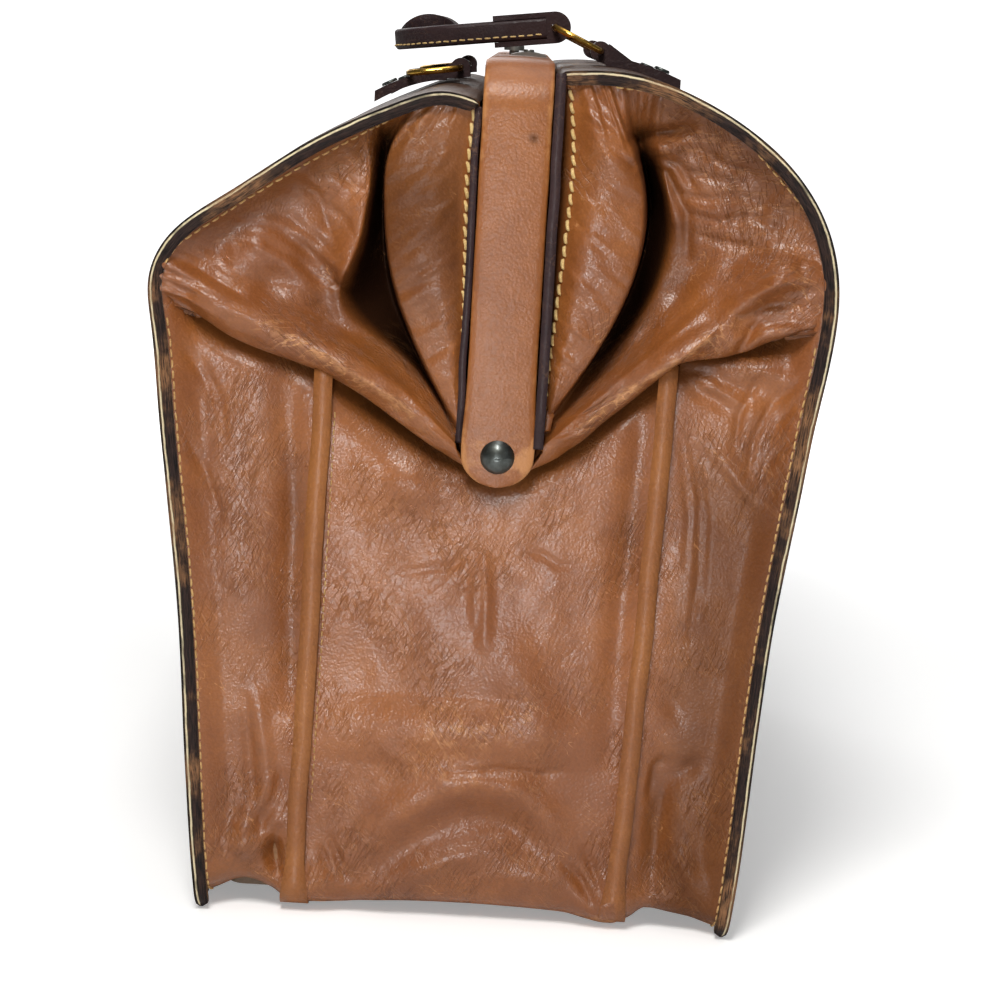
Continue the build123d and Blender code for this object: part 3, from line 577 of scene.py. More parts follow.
# panels: lines are (y, z) in millimetres; front is the side at -Y
ends = ((1, "Near"), (-1, "Far"))
frontSide = {
    "name": "front", "sign": -1, "body": "front_frame", "replaced": ("front_panel", "front_shoulder"),
    "bendStart": (0, -62.6, 141.9), "bendEnd": (0, 23.3, 180.1), "wornMiddle": 0.0,
    "outer": [
        (-94.4, 0.2), (-95.6, 10.3), (-98.6, 40), (-105.1, 113.2), (-110.2, 152), (-114.4, 184.3), (-118, 212),
        (-119.6, 227.9), (-114.9, 240.4), (-92.8, 258.9), (-69.3, 275.8), (-35.7, 293.2), (-22.2, 297.4), (-8, 295.2)]}
rearSide = {
    "name": "rear", "sign": 1, "body": "rear_frame", "replaced": ("rear_panel", "rear_shoulder"),
    "bendStart": (0, 79.7, 143.3), "bendEnd": (0, -18.3, 181.0), "wornMiddle": 0.45,
    "outer": [
        (97.8, 0.2), (99.5, 15), (102.4, 60), (106.6, 118.8), (111.4, 160), (116.4, 198.1), (119.5, 222),
        (119.2, 240.3), (109.2, 267.4), (92.3, 285.3), (67.2, 299.9), (42.6, 307), (18.4, 306.3)]}
# waves are (size, height, seed) of the unevenness over the outer face; the sheet closes within some rows of its
# first and last one, between two depths; ridge is the raw edge's least share of rim, what is added, size and seed
panel = {
    "half": 210.0, "thickness": 3.6, "edgeThickness": 5.2, "edgeZone": 12.0, "corner": 9.0, "rim": 1.1,
    "rows": 190, "across": 71, "edgeSteps": 9, "waves": [(60, 0.5, 11), (23, 0.18, 12)], "sunk": 0.25,
    "closing": 1.2, "closedFrom": 1.6, "closedTo": 1.7, "ridge": (0.75, 0.35, 8, 13)}


def lumps(p, layers, seed=0):
    # sum of unevenness over layers of (size, height, seed)
    return sum(unevenness(p, size, seed + more) * height for size, height, more in layers)


def bendWith(obj):
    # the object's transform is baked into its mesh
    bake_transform(obj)


def panelLine(side, count):
    # outer line and the unit normal that points into the case
    line = smoothCurve(side["outer"], count)
    t = unit(np.gradient(line, axis=0))
    return line, np.stack([t[:, 1], -t[:, 0]], 1) * -side["sign"]


def panelHalf(z):
    # half length at this height: the lower corners are quarter circles
    drop = np.clip(panel["corner"] - z, 0, panel["corner"])
    return panel["half"] - panel["corner"] + np.sqrt(np.maximum(panel["corner"] ** 2 - drop ** 2, 0))


def buildPanel(side):
    # closed sheet carried up the outer line: outer face, rounded raw edge, inner face, raw edge
    rows, n = panel["rows"], panel["across"]
    line, inward = panelLine(side, rows)
    y, z = line[:, :1], line[:, 1:]
    half = panelHalf(np.maximum(z, 0.6))
    s = np.linspace(-1, 1, n)
    x = half * (np.sin(s * np.pi / 2) + s) / 2
    # both faces draw together on the first and last rows
    parted = np.sqrt(np.clip(fromEnds(rows) / panel["closing"], 0.04, 1))[:, None]
    low = (1 - parted) * panel["closedFrom"] + panel["sunk"]
    low = low + lumps(together(x, y, z), panel["waves"])
    atEdge = step(np.abs(x), half - panel["edgeZone"], half - 3)
    deep = panel["thickness"] + (panel["edgeThickness"] - panel["thickness"]) * atEdge
    deep = deep * parted + (1 - parted) * panel["closedTo"]
    # raw edge: half a turn from the outer face to the inner one, uneven along the line
    angle = np.linspace(np.pi / 2, -np.pi / 2, panel["edgeSteps"])[None, 1:-1]
    least, more, size, seed = panel["ridge"]
    ridge = least + more * unevenness(np.concatenate([0 * y, y, z], 1), size, seed)[:, None]
    edgeX = half + (np.cos(angle) * ridge - 1) * panel["rim"]
    edgeIn = (low[:, -1:] + deep[:, -1:]) / 2 - np.sin(angle) * (deep[:, -1:] - low[:, -1:]) / 2
    xs = np.concatenate([x, edgeX, x[:, ::-1], -edgeX[:, ::-1]], 1)
    ds = np.concatenate([low, edgeIn, deep[:, ::-1], edgeIn[:, ::-1]], 1)
    points = together(xs, y + inward[:, :1] * ds, z + inward[:, 1:] * ds)
    points[..., 2] = np.maximum(points[..., 2], 0.02)
    k = angle.size
    share = (np.arange(k) + 1) / (k + 1)
    u = np.concatenate([np.zeros(n), share, np.ones(n), 1 - share, [0]])
    uv = together(u[None], lengthAlong(line)[:, None] * mm)
    band = np.zeros(2 * n + 2 * k, int)
    band[n - 1:n + k] = 1
    band[2 * n + k - 1:] = 1
    # worn at the foot, in patches, and on the rear one half way up
    worn = 0.25 + 0.5 * step(z, 60, 0) + 0.35 * step(unevenness(points[:, :1], 30, 14), 0.1, 0.6)
    worn = worn + side["wornMiddle"] * bell(z - 110, 50)
    rubbed = np.clip(np.maximum(worn * 0.8, bell(np.abs(xs) - half, 5.0) * 0.6), 0, 1)
    obj = tubeMesh(side["name"] + "Panel", points, uv=uv, flip=side["sign"] < 0, masks={"rubbed": rubbed},
                   bandMaterial=band)
    dress(obj, "dark_leather", darkLeather, inkedEdge)
    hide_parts(*side["replaced"])
    bendWith(obj)


for side in (frontSide, rearSide):
    buildPanel(side)
print("panels ready")

# folded gusset beside each arm: each line runs from the rivet out to the panel, as (y, z), and depth is the
# leather's x minus 200 at the shares in "at"; strokes are creases and small rolls (height, width, (y, z) points);
# lumps are (size, height, seed); columns count the lines from the arm, rows go from 0 at the rivet to 1 at the panel
# seam, wedgeShade and slopeShade set where and how strongly shade is painted on each fold
folds = {
    "at": [0, 0.1, 0.25, 0.4, 0.55, 0.7, 0.82, 0.92, 1],
    "front": {
        "lines": [
            [(-7.6, 176), (-7.6, 215), (-7.6, 255), (-8.2, 294)],
            [(-8.2, 178), (-15, 208), (-21, 245), (-22, 275), (-15.5, 295.5)],
            [(-9, 180), (-25.3, 209.8), (-34.9, 233.7), (-37.4, 246), (-38.7, 259), (-37.8, 275.5), (-33, 285),
             (-25, 295.2)],
            [(-9.6, 179), (-23.7, 199.5), (-37.2, 224.1), (-40.9, 242.3), (-41.3, 266.5), (-40.6, 278), (-40.5, 287.5)],
            [(-10.2, 178), (-30, 203), (-54.1, 226), (-49.6, 238.4), (-46.4, 253.1), (-45.6, 268.7), (-49, 283)],
            [(-10, 177), (-33, 202), (-60, 224), (-62, 238), (-62, 252), (-65, 262), (-71, 269.5)],
            [(-10, 176), (-35, 200), (-66, 219), (-78, 230), (-84, 240), (-89, 247), (-95.5, 252.5)],
            [(-9.8, 175), (-34.5, 196.5), (-58, 210.5), (-80, 221.5), (-95, 228.5), (-106, 235), (-113.4, 238)],
            [(-9.3, 173), (-32.7, 190.4), (-54.5, 202.8), (-75.8, 213.2), (-91, 219.4), (-107.5, 226), (-116.8, 229)],
            [(-6.6, 167), (-15.2, 171.6), (-27.2, 179), (-53.9, 195.1), (-75.2, 202.6), (-93, 209.3), (-107.5, 217.3),
             (-116, 219)],
            [(-6.6, 173), (-27.2, 186), (-53.9, 201), (-75.2, 208), (-93, 213), (-115, 217)]],
        "depth": [
            [5, 5, 5, 5, 5, 5, 5, 5.5, 7], [6, 8, 10, 11.4, 12, 11.6, 10.6, 9, 8],
            [5, 6.5, 8, 8.6, 8.8, 8.6, 8, 7.4, 8], [3, -5, -16, -28, -35, -34, -27, -15, 3],
            [4, 0, -7, -8, -4, -3, -2, 0, 8], [5, 3, -1, -5, -6, -4, -2, 1, 9], [6, 6, 3, 0, -2, -1, 1, 4, 9],
            [7, 8.5, 8, 6, 5, 5, 5, 6, 9.3], [7, 9, 10, 10.5, 11, 11.5, 11.5, 11, 9.3],
            [3, 2, 1.5, 1.5, 1.5, 2, 2.5, 5, 9], [-3, -5, -6, -6, -6, -5, -4, 0, 6]],
        "strokes": [
            (-0.7, 1.3, [(-60.2, 231.5), (-54.8, 227.3), (-48.7, 224.8)]),
            (-0.6, 1.3, [(-58.2, 226.4), (-51.3, 228.5)]), (-0.6, 1.3, [(-56.8, 233.4), (-53.5, 223.2)]),
            (1.6, 4, [(-42.8, 279.1), (-43.9, 267), (-46.7, 253.1), (-50.9, 234.5)]),
            (-1.2, 1.7, [(-90.4, 247), (-78.2, 246.7), (-67.5, 239.7), (-56.7, 231.7)]),
            (-1.1, 1.6, [(-91.3, 244.2), (-79.8, 242.1), (-69.1, 235.5), (-60.7, 228)]),
            (-0.9, 1.5, [(-85.4, 251.1), (-73.2, 250.5), (-62.5, 243.5), (-54.2, 236.4)]),
            (-0.9, 1.5, [(-73.8, 263.5), (-63.2, 259), (-59.3, 248.9), (-55.4, 240.4)]),
            (-0.8, 1.5, [(-79.7, 264.5), (-68.6, 263.8), (-61.4, 257.4)]), (-1.8, 8, [(-80.3, 253.5), (-68.3, 255.9)]),
            (1.2, 4, [(-56, 274.2), (-48.2, 270.2)]), (-0.8, 1.4, [(-58.5, 267.9), (-50.6, 263.2), (-47.1, 261.7)]),
            (-0.8, 1.4, [(-60.6, 255.7), (-52.4, 250.3), (-49.8, 246)]),
            (1.4, 4, [(-86.7, 242.7), (-72.6, 236.6), (-62.7, 225.4)])],
        "relief": 1.4, "seam": (0.0, 0.16), "wedgeShade": 0.6, "slopeShade": (0.4, 0.84, 1.0), "seed": 5},
    "rear": {
        "lines": [
            [(18.2, 178), (18.2, 215), (18.2, 260), (18.4, 303)],
            [(21.6, 182), (27, 212), (33.5, 250), (34.5, 280), (27.5, 304)],
            [(19, 182), (38.3, 213.6), (47.5, 237.2), (50.2, 254.7), (47.4, 274), (42, 287), (35, 304)],
            [(19.5, 180), (38.7, 207.7), (53, 240), (54.8, 258), (52, 273), (47, 288), (46, 304)],
            [(20, 178.5), (42, 206), (60, 240), (61, 258), (57, 275), (55.5, 290), (57, 302.5)],
            [(20, 177.5), (45, 205), (68, 236), (74, 254), (74, 270), (75, 283), (78.5, 293)],
            [(20, 176.5), (46, 203), (72, 230), (84, 247), (89, 259), (94, 270), (99, 274.5)],
            [(20, 175.5), (46.5, 201), (73, 225.5), (90, 241), (101, 249), (109, 254), (114.4, 255)],
            [(20.5, 174), (45.5, 195.1), (64.1, 209.2), (78, 221), (94, 235), (108, 239), (118, 240)],
            [(17, 167), (25.9, 171.6), (40.2, 184.1), (55.7, 198.1), (65.6, 206.8), (84.8, 211.5), (105, 221),
             (117.5, 224)],
            [(17, 173), (40.2, 190.5), (55.7, 204), (65.6, 212), (84.8, 217), (117, 221)]],
        "depth": [
            [3, 2, 2, 2, 2, 2, 2, 3.5, 6], [6, 8, 10, 11.8, 12.6, 12.2, 11, 9, 8],
            [5, 6.5, 8, 8.8, 9, 8.8, 8.4, 7.6, 8], [3, -5, -16, -28, -36, -36, -15, 1, 6],
            [4, 0, -6, -8, -6, -3, 1, 4, 8], [5, 4, 0, -4, -4, -1, 2, 4, 9], [6, 7, 5, 3, 2, 2, 3, 4, 9],
            [7, 9, 9, 8, 7, 6, 6, 6, 9.3], [7, 9, 10, 11, 11.5, 11, 9.5, 8, 9.3], [3, 2, 1.5, 1.5, 1.5, 2, 2.5, 5, 9],
            [-3, -5, -6, -6, -6, -5, -4, 0, 6]],
        "strokes": [
            (2.4, 3.5, [(46.7, 280.9), (54.6, 281.4), (62.4, 283.6)]),
            (-2.8, 2.2, [(44.8, 284.2), (52.5, 286.4), (64.4, 288.8)]),
            (-1, 2, [(53.8, 267.6), (59.9, 254.2), (59.1, 240.3)]),
            (-1, 2, [(58, 271.3), (65.8, 259.7), (67.5, 244.3)]), (2.2, 4, [(94.1, 237.2), (100, 242), (105.7, 243.8)]),
            (-1.5, 2, [(92.7, 231.9), (102.9, 235.3), (111.5, 236.5)]),
            (1.8, 6, [(98.8, 220), (107.3, 223), (114.3, 222.7)]),
            (-2, 2, [(86.2, 212.3), (89.6, 218.4), (92.3, 223.1)]),
            (-1.1, 1.5, [(48.3, 272.1), (52.3, 275.1), (57.9, 274), (61.8, 267.4)]),
            (-0.9, 1.5, [(45.3, 275.7), (53.1, 278.6), (61.8, 276.7), (67.2, 269.1)]),
            (-0.9, 1.6, [(63.2, 266.1), (73, 265), (83.2, 267.3), (91, 264.7)]),
            (-0.9, 1.6, [(66.5, 259.4), (77, 257.6), (87.2, 260), (97.8, 256.4)]),
            (2.4, 5, [(86.5, 231.2), (94.1, 236.8), (102.5, 240.1), (110.2, 239.2)]),
            (1.8, 4, [(87.9, 241.3), (96.9, 245.3), (107.3, 245.9)]),
            (-1.5, 1.9, [(86.3, 225.2), (96.4, 230), (106.7, 231.7)]),
            (-1.4, 1.7, [(87.3, 235), (95.6, 240.4), (105.8, 243.1)]),
            (1.8, 5, [(86.3, 215.8), (93.6, 219.7), (104.1, 220.3), (111.9, 217.3)]),
            (-1.3, 1.8, [(86.6, 221), (96.8, 224.4), (108.8, 225.9)]),
            (-0.8, 1.4, [(68.3, 282.2), (77.3, 277.6), (87.8, 274.8)]),
            (-0.8, 1.4, [(65.4, 274.5), (74.2, 272.3), (84.6, 271.5)]),
            (-0.9, 1.5, [(72.2, 251.5), (82.7, 250), (93.2, 249.3)]),
            (1.6, 6, [(33.3, 290.4), (38.1, 280.4), (40.9, 270.3)])],
        "relief": 1.9, "seam": (0.2, 0.4), "wedgeShade": 0.08, "slopeShade": (0.42, 0.72, 0.96), "seed": 8},
    "rows": 165, "perLine": 17, "wall": 1.5, "rivet": (5, 172), "farSeed": 7, "pucker": 1.5,
    "radialLumps": [(5.0, 1.3, 0), (9.0, 1.6, 5)], "plainLumps": [(16, 2.0, 1), (6, 0.8, 2)],
    "puckerLumps": [(1.0, 1.0, 3), (0.45, 0.5, 4)], "slantLumps": [(2.4, 0.5, 8), (6, 0.5, 9)],
    "wedgeLumps": [(22, 0.9, 10)], "crease": {"height": 0.9, "width": 0.16, "size": 7.5}}


def foldGrid(side, end):
    # rows run out from the rivet, columns from the arm to the under side of the roll:
    # every measured line is a spline, and a smooth curve is drawn across the lines at each row
    data, rows = folds[side["name"]], folds["rows"]
    lines = np.stack([smoothCurve(points, rows) for points in data["lines"]])
    share = np.linspace(0, 1, rows)
    depth = np.stack([easyThrough(share, folds["at"], values) for values in data["depth"]])
    last = len(lines) - 1
    columns = np.linspace(0, last, last * folds["perLine"] + 1)
    knots = np.arange(last + 1)
    flat = easyThrough(columns, knots, lines.reshape(last + 1, -1)).reshape(len(columns), rows, 2)
    y, z, d = flat[..., 0].T, flat[..., 1].T, easyThrough(columns, knots, depth).T
    seed = data["seed"] + (folds["farSeed"] if end < 0 else 0)
    c, r = columns[None], share[:, None]
    # lumps on the loose leather, some drawn out towards the rivet, and puckers along the panel's seam
    where = together(d * 0.3, y, z)
    fromY, fromZ = y - folds["rivet"][0], z - folds["rivet"][1]
    radial = together(np.hypot(fromY, fromZ) * 0.35, np.arctan2(fromY, fromZ) * 60, d * 0.2)
    keep = step(r, 0.02, 0.15) * step(1 - r, 0.0, 0.1) * step(c, 0.15, 0.8) * step(last - c, 0.3, 1.2)
    loose = 0.15 + 0.85 * step(c, 2.6, 4.5)
    d = d + keep * loose * (lumps(radial, folds["radialLumps"], seed) + lumps(where, folds["plainLumps"], seed))
    drawn = together(c * 3.2, r * 2, 0.0)
    pucker = step(r, 0.72, 0.97) * step(1 - r, 0.0, 0.04) * step(c, 0.4, 1.2)
    d = d + pucker * folds["pucker"] * lumps(drawn, folds["puckerLumps"], seed)
    # pressed creases where a stretched noise passes zero, in patches of the loose leather
    crease = folds["crease"]
    fold = unevenness(radial * [0.6, 1.0, 1.0], crease["size"], seed + 6)
    patches = step(unevenness(where, 24, seed + 7), -0.3, 0.5)
    d = d - crease["height"] * loose * keep * bell(fold, crease["width"]) * patches
    # slanting creases on the wedge, then the strokes
    slant = together(z + 0.75 * np.abs(y), (np.abs(y) - 0.75 * z) * 0.22, 0.0)
    wedgeOnly = step(c, 0.25, 0.6) * (1 - step(c, 2.2, 2.7))
    d = d + wedgeOnly * keep * (lumps(slant, folds["slantLumps"], seed) + lumps(where, folds["wedgeLumps"], seed))
    pressed = step(1 - r, 0.0, 0.06) * step(c, 0.4, 0.8) * data["relief"]
    d = d + strokeRelief(y, z, data["strokes"]) * pressed
    points = together((200 + d) * end, y, z)
    # painted shade in the valley, along both seams, on the wedge, at the top of the slope and under the roll
    valley = np.clip((-d - 0.5) / 13, 0, 1) ** 0.8 * step(c, 1.9, 2.3) * (1 - 0.7 * step(c, 3.5, 5.2))
    seam = np.maximum(0.8 * step(r, 0.985, 1.0), 0.7 * (1 - step(c, *data["seam"])))
    wedge = (1 - 0.5 * step(r, 0.7, 0.95)) * step(c, 0.1, 0.5) * (1 - step(c, 2.4, 3.0)) * step(r, 0.1, 0.7)
    shade, start, full = data["slopeShade"]
    slope = shade * step(r, start, full) * step(c, 3.0, 4.0) * (1 - step(c, 6.0, 7.5))
    shades = (valley, seam, wedge * data["wedgeShade"], slope, 0.35 * step(c, 8.6, 9.3))
    shadeAndStain = np.clip(together(*shades).max(-1), 0, 1)
    # rubbed on the roll's crown, most near the rivet, and on the wedge's outer edge
    crown = bell(c - 8.1, 0.45) * step(r, 0.06, 0.2) * (0.75 - 0.45 * step(r, 0.5, 0.75))
    rubbed = np.clip(crown + bell(c - 1.9, 0.3) * 0.3, 0, 1)
    along = np.cumsum(np.linalg.norm(np.diff(points, axis=0, prepend=points[:1]), axis=-1), axis=0)
    flow = together(along, c * 11.0, 50.0 * side["sign"] + 200 * end)
    return points, {"shadeAndStain": shadeAndStain, "rubbed": rubbed}, flow


foldGrids = {}
for side in (frontSide, rearSide):
    for end, endName in ends:
        points, masks, flow = foldGrid(side, end)
        foldGrids[side["name"] + endName] = points
        obj = gridMesh(side["name"] + "Fold" + endName, points, masks=masks, flow=flow, flip=side["sign"] * end > 0)
        dress(obj, "tan_leather", tanLeather)
        thicken(obj, folds["wall"])
        if end > 0:
            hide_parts(side["name"] + "_gusset_folds")
        bendWith(obj)
print("gusset folds ready")

# lower gusset and base, one strip of hide: top is its upper edge and hem the base line at the ends, as (y, z);
# strokes are swellings, dents and creases (height, width, (y, z) points) on the near end
gusset = {
    "face": 203.0, "under": 5.2, "corner": 8.0, "columns": 221, "wallRows": 150, "arcRows": 9, "baseRows": 61,
    "wall": 2.0, "flangeInset": 1.4, "flange": 5.6, "relief": 1.45, "narrow": 2, "narrowRelief": 1.35,
    "tuck": 9.0, "sag": 1.2, "fineLumps": [(13, 0.5, 31), (5.5, 0.2, 32)], "broadLumps": [(30, 1.2, 33)],
    "hem": [
        (-100, 3), (-88, 6.5), (-77, 9.5), (-68, 7), (-60, 2.6), (-45, 3.4), (0, 5), (38, 3.8), (55.6, 1), (62, 3.6),
        (68, 7.2), (78, 5.8), (100, 2)],
    "top": [
        (-122, 229), (-110, 225), (-93, 215), (-75, 208.5), (-54, 201.5), (-27, 185.5), (-12, 176), (5, 172), (20, 174),
        (27, 178), (40, 190), (56, 204), (66, 212.5), (85, 217.5), (105, 226), (122, 232)],
    # middle of the shade under the roll, as (y, z)
    "rollFoot": [(-90, 214), (-60, 200), (-35, 184), (-18, 172), (5, 164), (26, 172), (45, 190), (66, 206),
                 (95, 218)],
    "strokes": [
        (5, 40, [(0, 58), (0, 84)]), (3.2, 7, [(-62, 8), (-52, 12), (-44, 6)]), (2.6, 6, [(46, 9), (56, 14), (62, 7)]),
        (-2.4, 5, [(-70.6, 192.3), (-67.8, 169.5), (-65.9, 144.6), (-66, 115.8), (-63.7, 79.5)]),
        (1.8, 12, [(-87.8, 186), (-85.4, 129.1), (-81.5, 78.4)]),
        (-4.2, 8, [(-51.4, 193.5), (-35.1, 183.9), (-18.6, 170.7)]), (-2.6, 7, [(26, 174), (38, 186), (54, 197)]),
        (1.7, 9, [(-35.7, 160.7), (-14.5, 158.5)]), (1.3, 2.4, [(2.4, 134.4), (4, 120), (4.2, 103.7)]),
        (0.6, 1.6, [(-0.8, 130.6), (0.3, 110.8)]), (-0.35, 1.3, [(-26.9, 127.2), (-5.9, 132.1)]),
        (-0.35, 1.3, [(-16, 122.4), (-2.7, 137.7)]), (-0.7, 1.3, [(72, 181.4), (77, 160.4), (78.3, 131.8), (77, 110)]),
        (-0.6, 1.3, [(75.9, 174.6), (79.9, 153.4), (80.5, 124.7)]),
        (-0.5, 1.3, [(69.2, 181.3), (73.9, 153.1), (73.8, 135.1)]),
        (2.6, 5, [(68.4, 207.7), (80.5, 209.5), (94.5, 208.2), (105.3, 203.9)]),
        (-1.3, 2.6, [(67.5, 205.2), (74.2, 198.5), (85.1, 193.6)]),
        (1.9, 4, [(83, 174.3), (92.5, 164.2), (101.2, 156.5)]),
        (-0.8, 2, [(75.7, 177.4), (85.1, 168.7), (94.7, 157.9)]), (-0.6, 1.4, [(112.6, 208.6), (102.3, 197.4)]),
        (-0.6, 1.4, [(110.9, 199.7), (101.4, 186.7)]), (-0.6, 1.4, [(109.4, 187.2), (98.9, 172.4)]),
        (-0.6, 1.4, [(107.7, 172.9), (98.2, 158.1)]),
        (-1.9, 5, [(56.3, 201.8), (54.2, 166.4), (52, 116), (50.9, 64.8)]),
        (-0.4, 1.3, [(18.5, 137.9), (23.9, 136.4), (28.6, 133.5), (33.6, 133.4)]),
        (3.4, 6, [(-81.8, 18.4), (-75.6, 25.1), (-69.2, 28.1)]),
        (-4, 3.2, [(-66.8, 29.4), (-67.2, 21.9), (-65.7, 12.6)]), (1.5, 4, [(-82.1, 26.6), (-76.1, 36.3), (-70, 45.9)]),
        (-1.3, 2.5, [(-75.5, 23.2), (-70.3, 36.6), (-65.9, 49.9)]),
        (2.3, 8, [(-35.1, 22.7), (-27.4, 34.4), (-18.2, 43.5), (-6.7, 50.5), (3.9, 52.3), (13, 51)]),
        (-1.3, 8, [(-26.8, 22.5), (-14.8, 32.6), (-0.8, 40.9), (13.4, 42.9)]),
        (2.1, 5, [(-29.8, 10.3), (-17.6, 18.6), (-3.5, 24.7), (14.3, 28.8)]),
        (-0.7, 1.4, [(-50.4, 24.8), (-46.4, 17.5)]), (-0.7, 1.4, [(-47, 28.7), (-40.9, 16)]),
        (-0.7, 1.4, [(-50.6, 13.5), (-38.8, 8.6)]), (0.9, 4, [(-28.9, 62.5), (-16, 56.6), (1.8, 57.7)]),
        (1.6, 8, [(11.7, 102.4), (17.7, 91.8), (27.5, 77.7)]),
        (1.8, 6, [(-5, 51.8), (5.6, 55), (20.1, 51.4), (29.6, 42.8), (35.8, 30.1)]),
        (-0.6, 1.4, [(-5.3, 56.6), (12.5, 59.1), (26.9, 57.4), (34, 59)]),
        (-1.8, 6, [(6.4, 39.5), (17.4, 36.4), (28.6, 29.7)]),
        (1.7, 6, [(-1.3, 16.6), (14.8, 19.5), (36.5, 18.9), (51.5, 10.5)]), (-0.8, 1.5, [(41.6, 23), (49.4, 14.1)]),
        (-0.8, 1.5, [(36, 26.4), (51.5, 10.5)]), (-0.7, 1.5, [(44.7, 30.6), (51.8, 16.1)]),
        (-4, 5, [(71.4, 62), (70.6, 47.1), (69.8, 32.2), (68.7, 11.5)]),
        (-1, 1.6, [(66.8, 50.6), (67.8, 61.8), (70.2, 63.8)]), (2.5, 5, [(79.1, 29), (83.9, 21.8), (87.4, 12.7)]),
        (-1.4, 3, [(77, 58.6), (82.7, 64.5)]), (-1.2, 4, [(70.4, 91.3), (75.5, 80.7)]),
        (-1.2, 1.9, [(70.3, 205), (79.1, 204.1), (88.9, 198.7)]), (1.4, 4, [(72.3, 201.9), (83, 199.1), (92.9, 192.6)]),
        (-0.8, 1.4, [(94.8, 204), (88.8, 191.3), (87.9, 178.9)]),
        (-0.7, 1.3, [(100.6, 197.3), (94.6, 182.8), (93.2, 168.5)]),
        (-0.5, 1.3, [(-100.6, 199.3), (-93.1, 185.7), (-90.7, 171.7)]),
        (-0.5, 1.3, [(-106, 202.5), (-98.5, 190.7), (-94.5, 178.5)]), (-0.5, 1.3, [(-106.8, 177.8), (-99, 160.5)]),
        (-0.5, 1.3, [(-99.2, 164.1), (-90.6, 143.1)]), (-0.9, 2.2, [(-79.7, 78.5), (-76.6, 49.2), (-71.2, 23.5)]),
        (1, 3, [(-75.1, 78.8), (-71.1, 53.3), (-68.1, 34.9)])]}


def insideY(side, z):
    # y of the gusset's flange on this panel, at this height
    line, inward = panelLine(side, 400)
    inner = line + inward * (panel["edgeThickness"] - gusset["flangeInset"])
    return np.interp(z, inner[:, 1], inner[:, 0])


def turnedY(x, y):
    # the far end has the near end's creases turned round
    return np.where(x < 0, 5 - y, y)


def gussetGrid():
    # rows go down the near end, round the corner, along the base and up the far end; columns from front to rear
    cols = np.linspace(0, 1, gusset["columns"])
    top = np.array(gusset["top"], float)
    front, rear = insideY(frontSide, 210.0), insideY(rearSide, 210.0)
    zTop = np.interp(front + (rear - front) * cols, top[:, 0], top[:, 1])[None]
    t = np.linspace(0, 1, gusset["wallRows"])[:-1, None]
    wall = zTop + (gusset["under"] + gusset["corner"] - zTop) * t
    x, z, nx, nz = archLine(wall, gusset["face"], gusset["under"], gusset["corner"], -1, gusset["arcRows"],
                            gusset["baseRows"])
    front, rear = insideY(frontSide, z), insideY(rearSide, z)
    y = front + (rear - front) * cols[None]
    lift = gussetLift(x, y, z, np.minimum(y - front, rear - y), zTop)
    points = together(x + nx * lift, y, z + nz * lift)
    hem = np.array(gusset["hem"], float)
    nearEnd = step(np.abs(x), 130, 195) * (1 - step(z, 6, 34))
    points[..., 2] += (easyThrough(turnedY(x, y), hem[:, 0], hem[:, 1]) - gusset["under"]) * nearEnd
    points[..., 2] = np.maximum(points[..., 2], 0.3)
    return points, lift


def gussetLift(x, y, z, near, zTop):
    # how far the hide stands proud: flange near the panels, strokes and lumps, a dip under the roll, a sagging base
    onEnd = step(z, 5, 16)
    flange = gusset["flange"] * (1 - step(near, 0.5, 11.5)) * (0.2 + 0.8 * step(z, 5, 14))
    pressed = [(h * (gusset["narrowRelief"] if width < gusset["narrow"] else 1.0), width, line)
               for h, width, line in gusset["strokes"]]
    onWall = 1 - step(gusset["face"] - np.abs(x), 6, 30)
    swell = strokeRelief(turnedY(x, y), z, pressed) * onWall * gusset["relief"]
    fine = (lumps(together(x * 0.5, y, z * 0.55), gusset["fineLumps"])
            + lumps(together(x * 0.5, y, z), gusset["broadLumps"]))
    tuck = gusset["tuck"] * (1 - step(zTop - z, 0.0, 16)) * (z > 100) * step(near, 2, 14)
    sag = gusset["sag"] * (1 - onEnd) * bell(np.abs(x) - 120, 60)
    return flange + (swell + fine * (0.4 + 0.6 * onEnd)) * step(near, 1, 9) * (0.3 + 0.7 * onEnd) - tuck - sag


def buildGusset():
    # the strip with its shades, flow along its length, and a second sheet one wall further in
    points, rise = gussetGrid()
    along = np.cumsum(np.linalg.norm(np.diff(points, axis=0, prepend=points[:1]), axis=-1).mean(1))[:, None]
    flow = together(along, points[..., 1], 0.0)
    y, z = turnedY(points[..., 0], points[..., 1]), points[..., 2]
    # painted shade in the dents, along the seams, beside both ribs, near the base and under the roll
    shade = (0.46 * step(y, 62, 82) * (1 - step(z, 150, 200)) + 0.1 * (1 - step(z, 20, 60))
             + 0.1 * (1 - step(y, -74, -62)))
    foot = np.array(gusset["rollFoot"], float)
    fromSeam = fromEnds(gusset["columns"])[None]
    tuck = 0.55 * bell(z - np.interp(y, foot[:, 0], foot[:, 1]), 9) * step(fromSeam, 8, 30)
    dents = np.clip(-rise / 8 - 0.1, 0, 1) * 0.7
    shadeAndStain = together(dents, 0.8 * bell(fromSeam, 1.3), shade, tuck).max(-1)
    rubbed = np.clip((rise - 4.2) / 2.5, 0, 1) * 0.5 + 0.8 * (1 - step(z, 2, 10))
    obj = gridMesh("lowerGusset", points, masks={"shadeAndStain": np.clip(shadeAndStain, 0, 1), "rubbed": rubbed}, flow=flow)
    dress(obj, "tan_leather", tanLeather)
    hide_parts("gusset_strip")
    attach(obj, "case")
    # its inner face, on a coarser grid
    inner = points[::3, ::4] - gridNormals(points)[::3, ::4] * gusset["wall"]
    obj = gridMesh("gussetInside", inner, flip=True)
    dress(obj, "lining_suede", liningSuede)
    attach(obj, "case")
    return points


gussetPoints = buildGusset()
print("lower gusset ready")

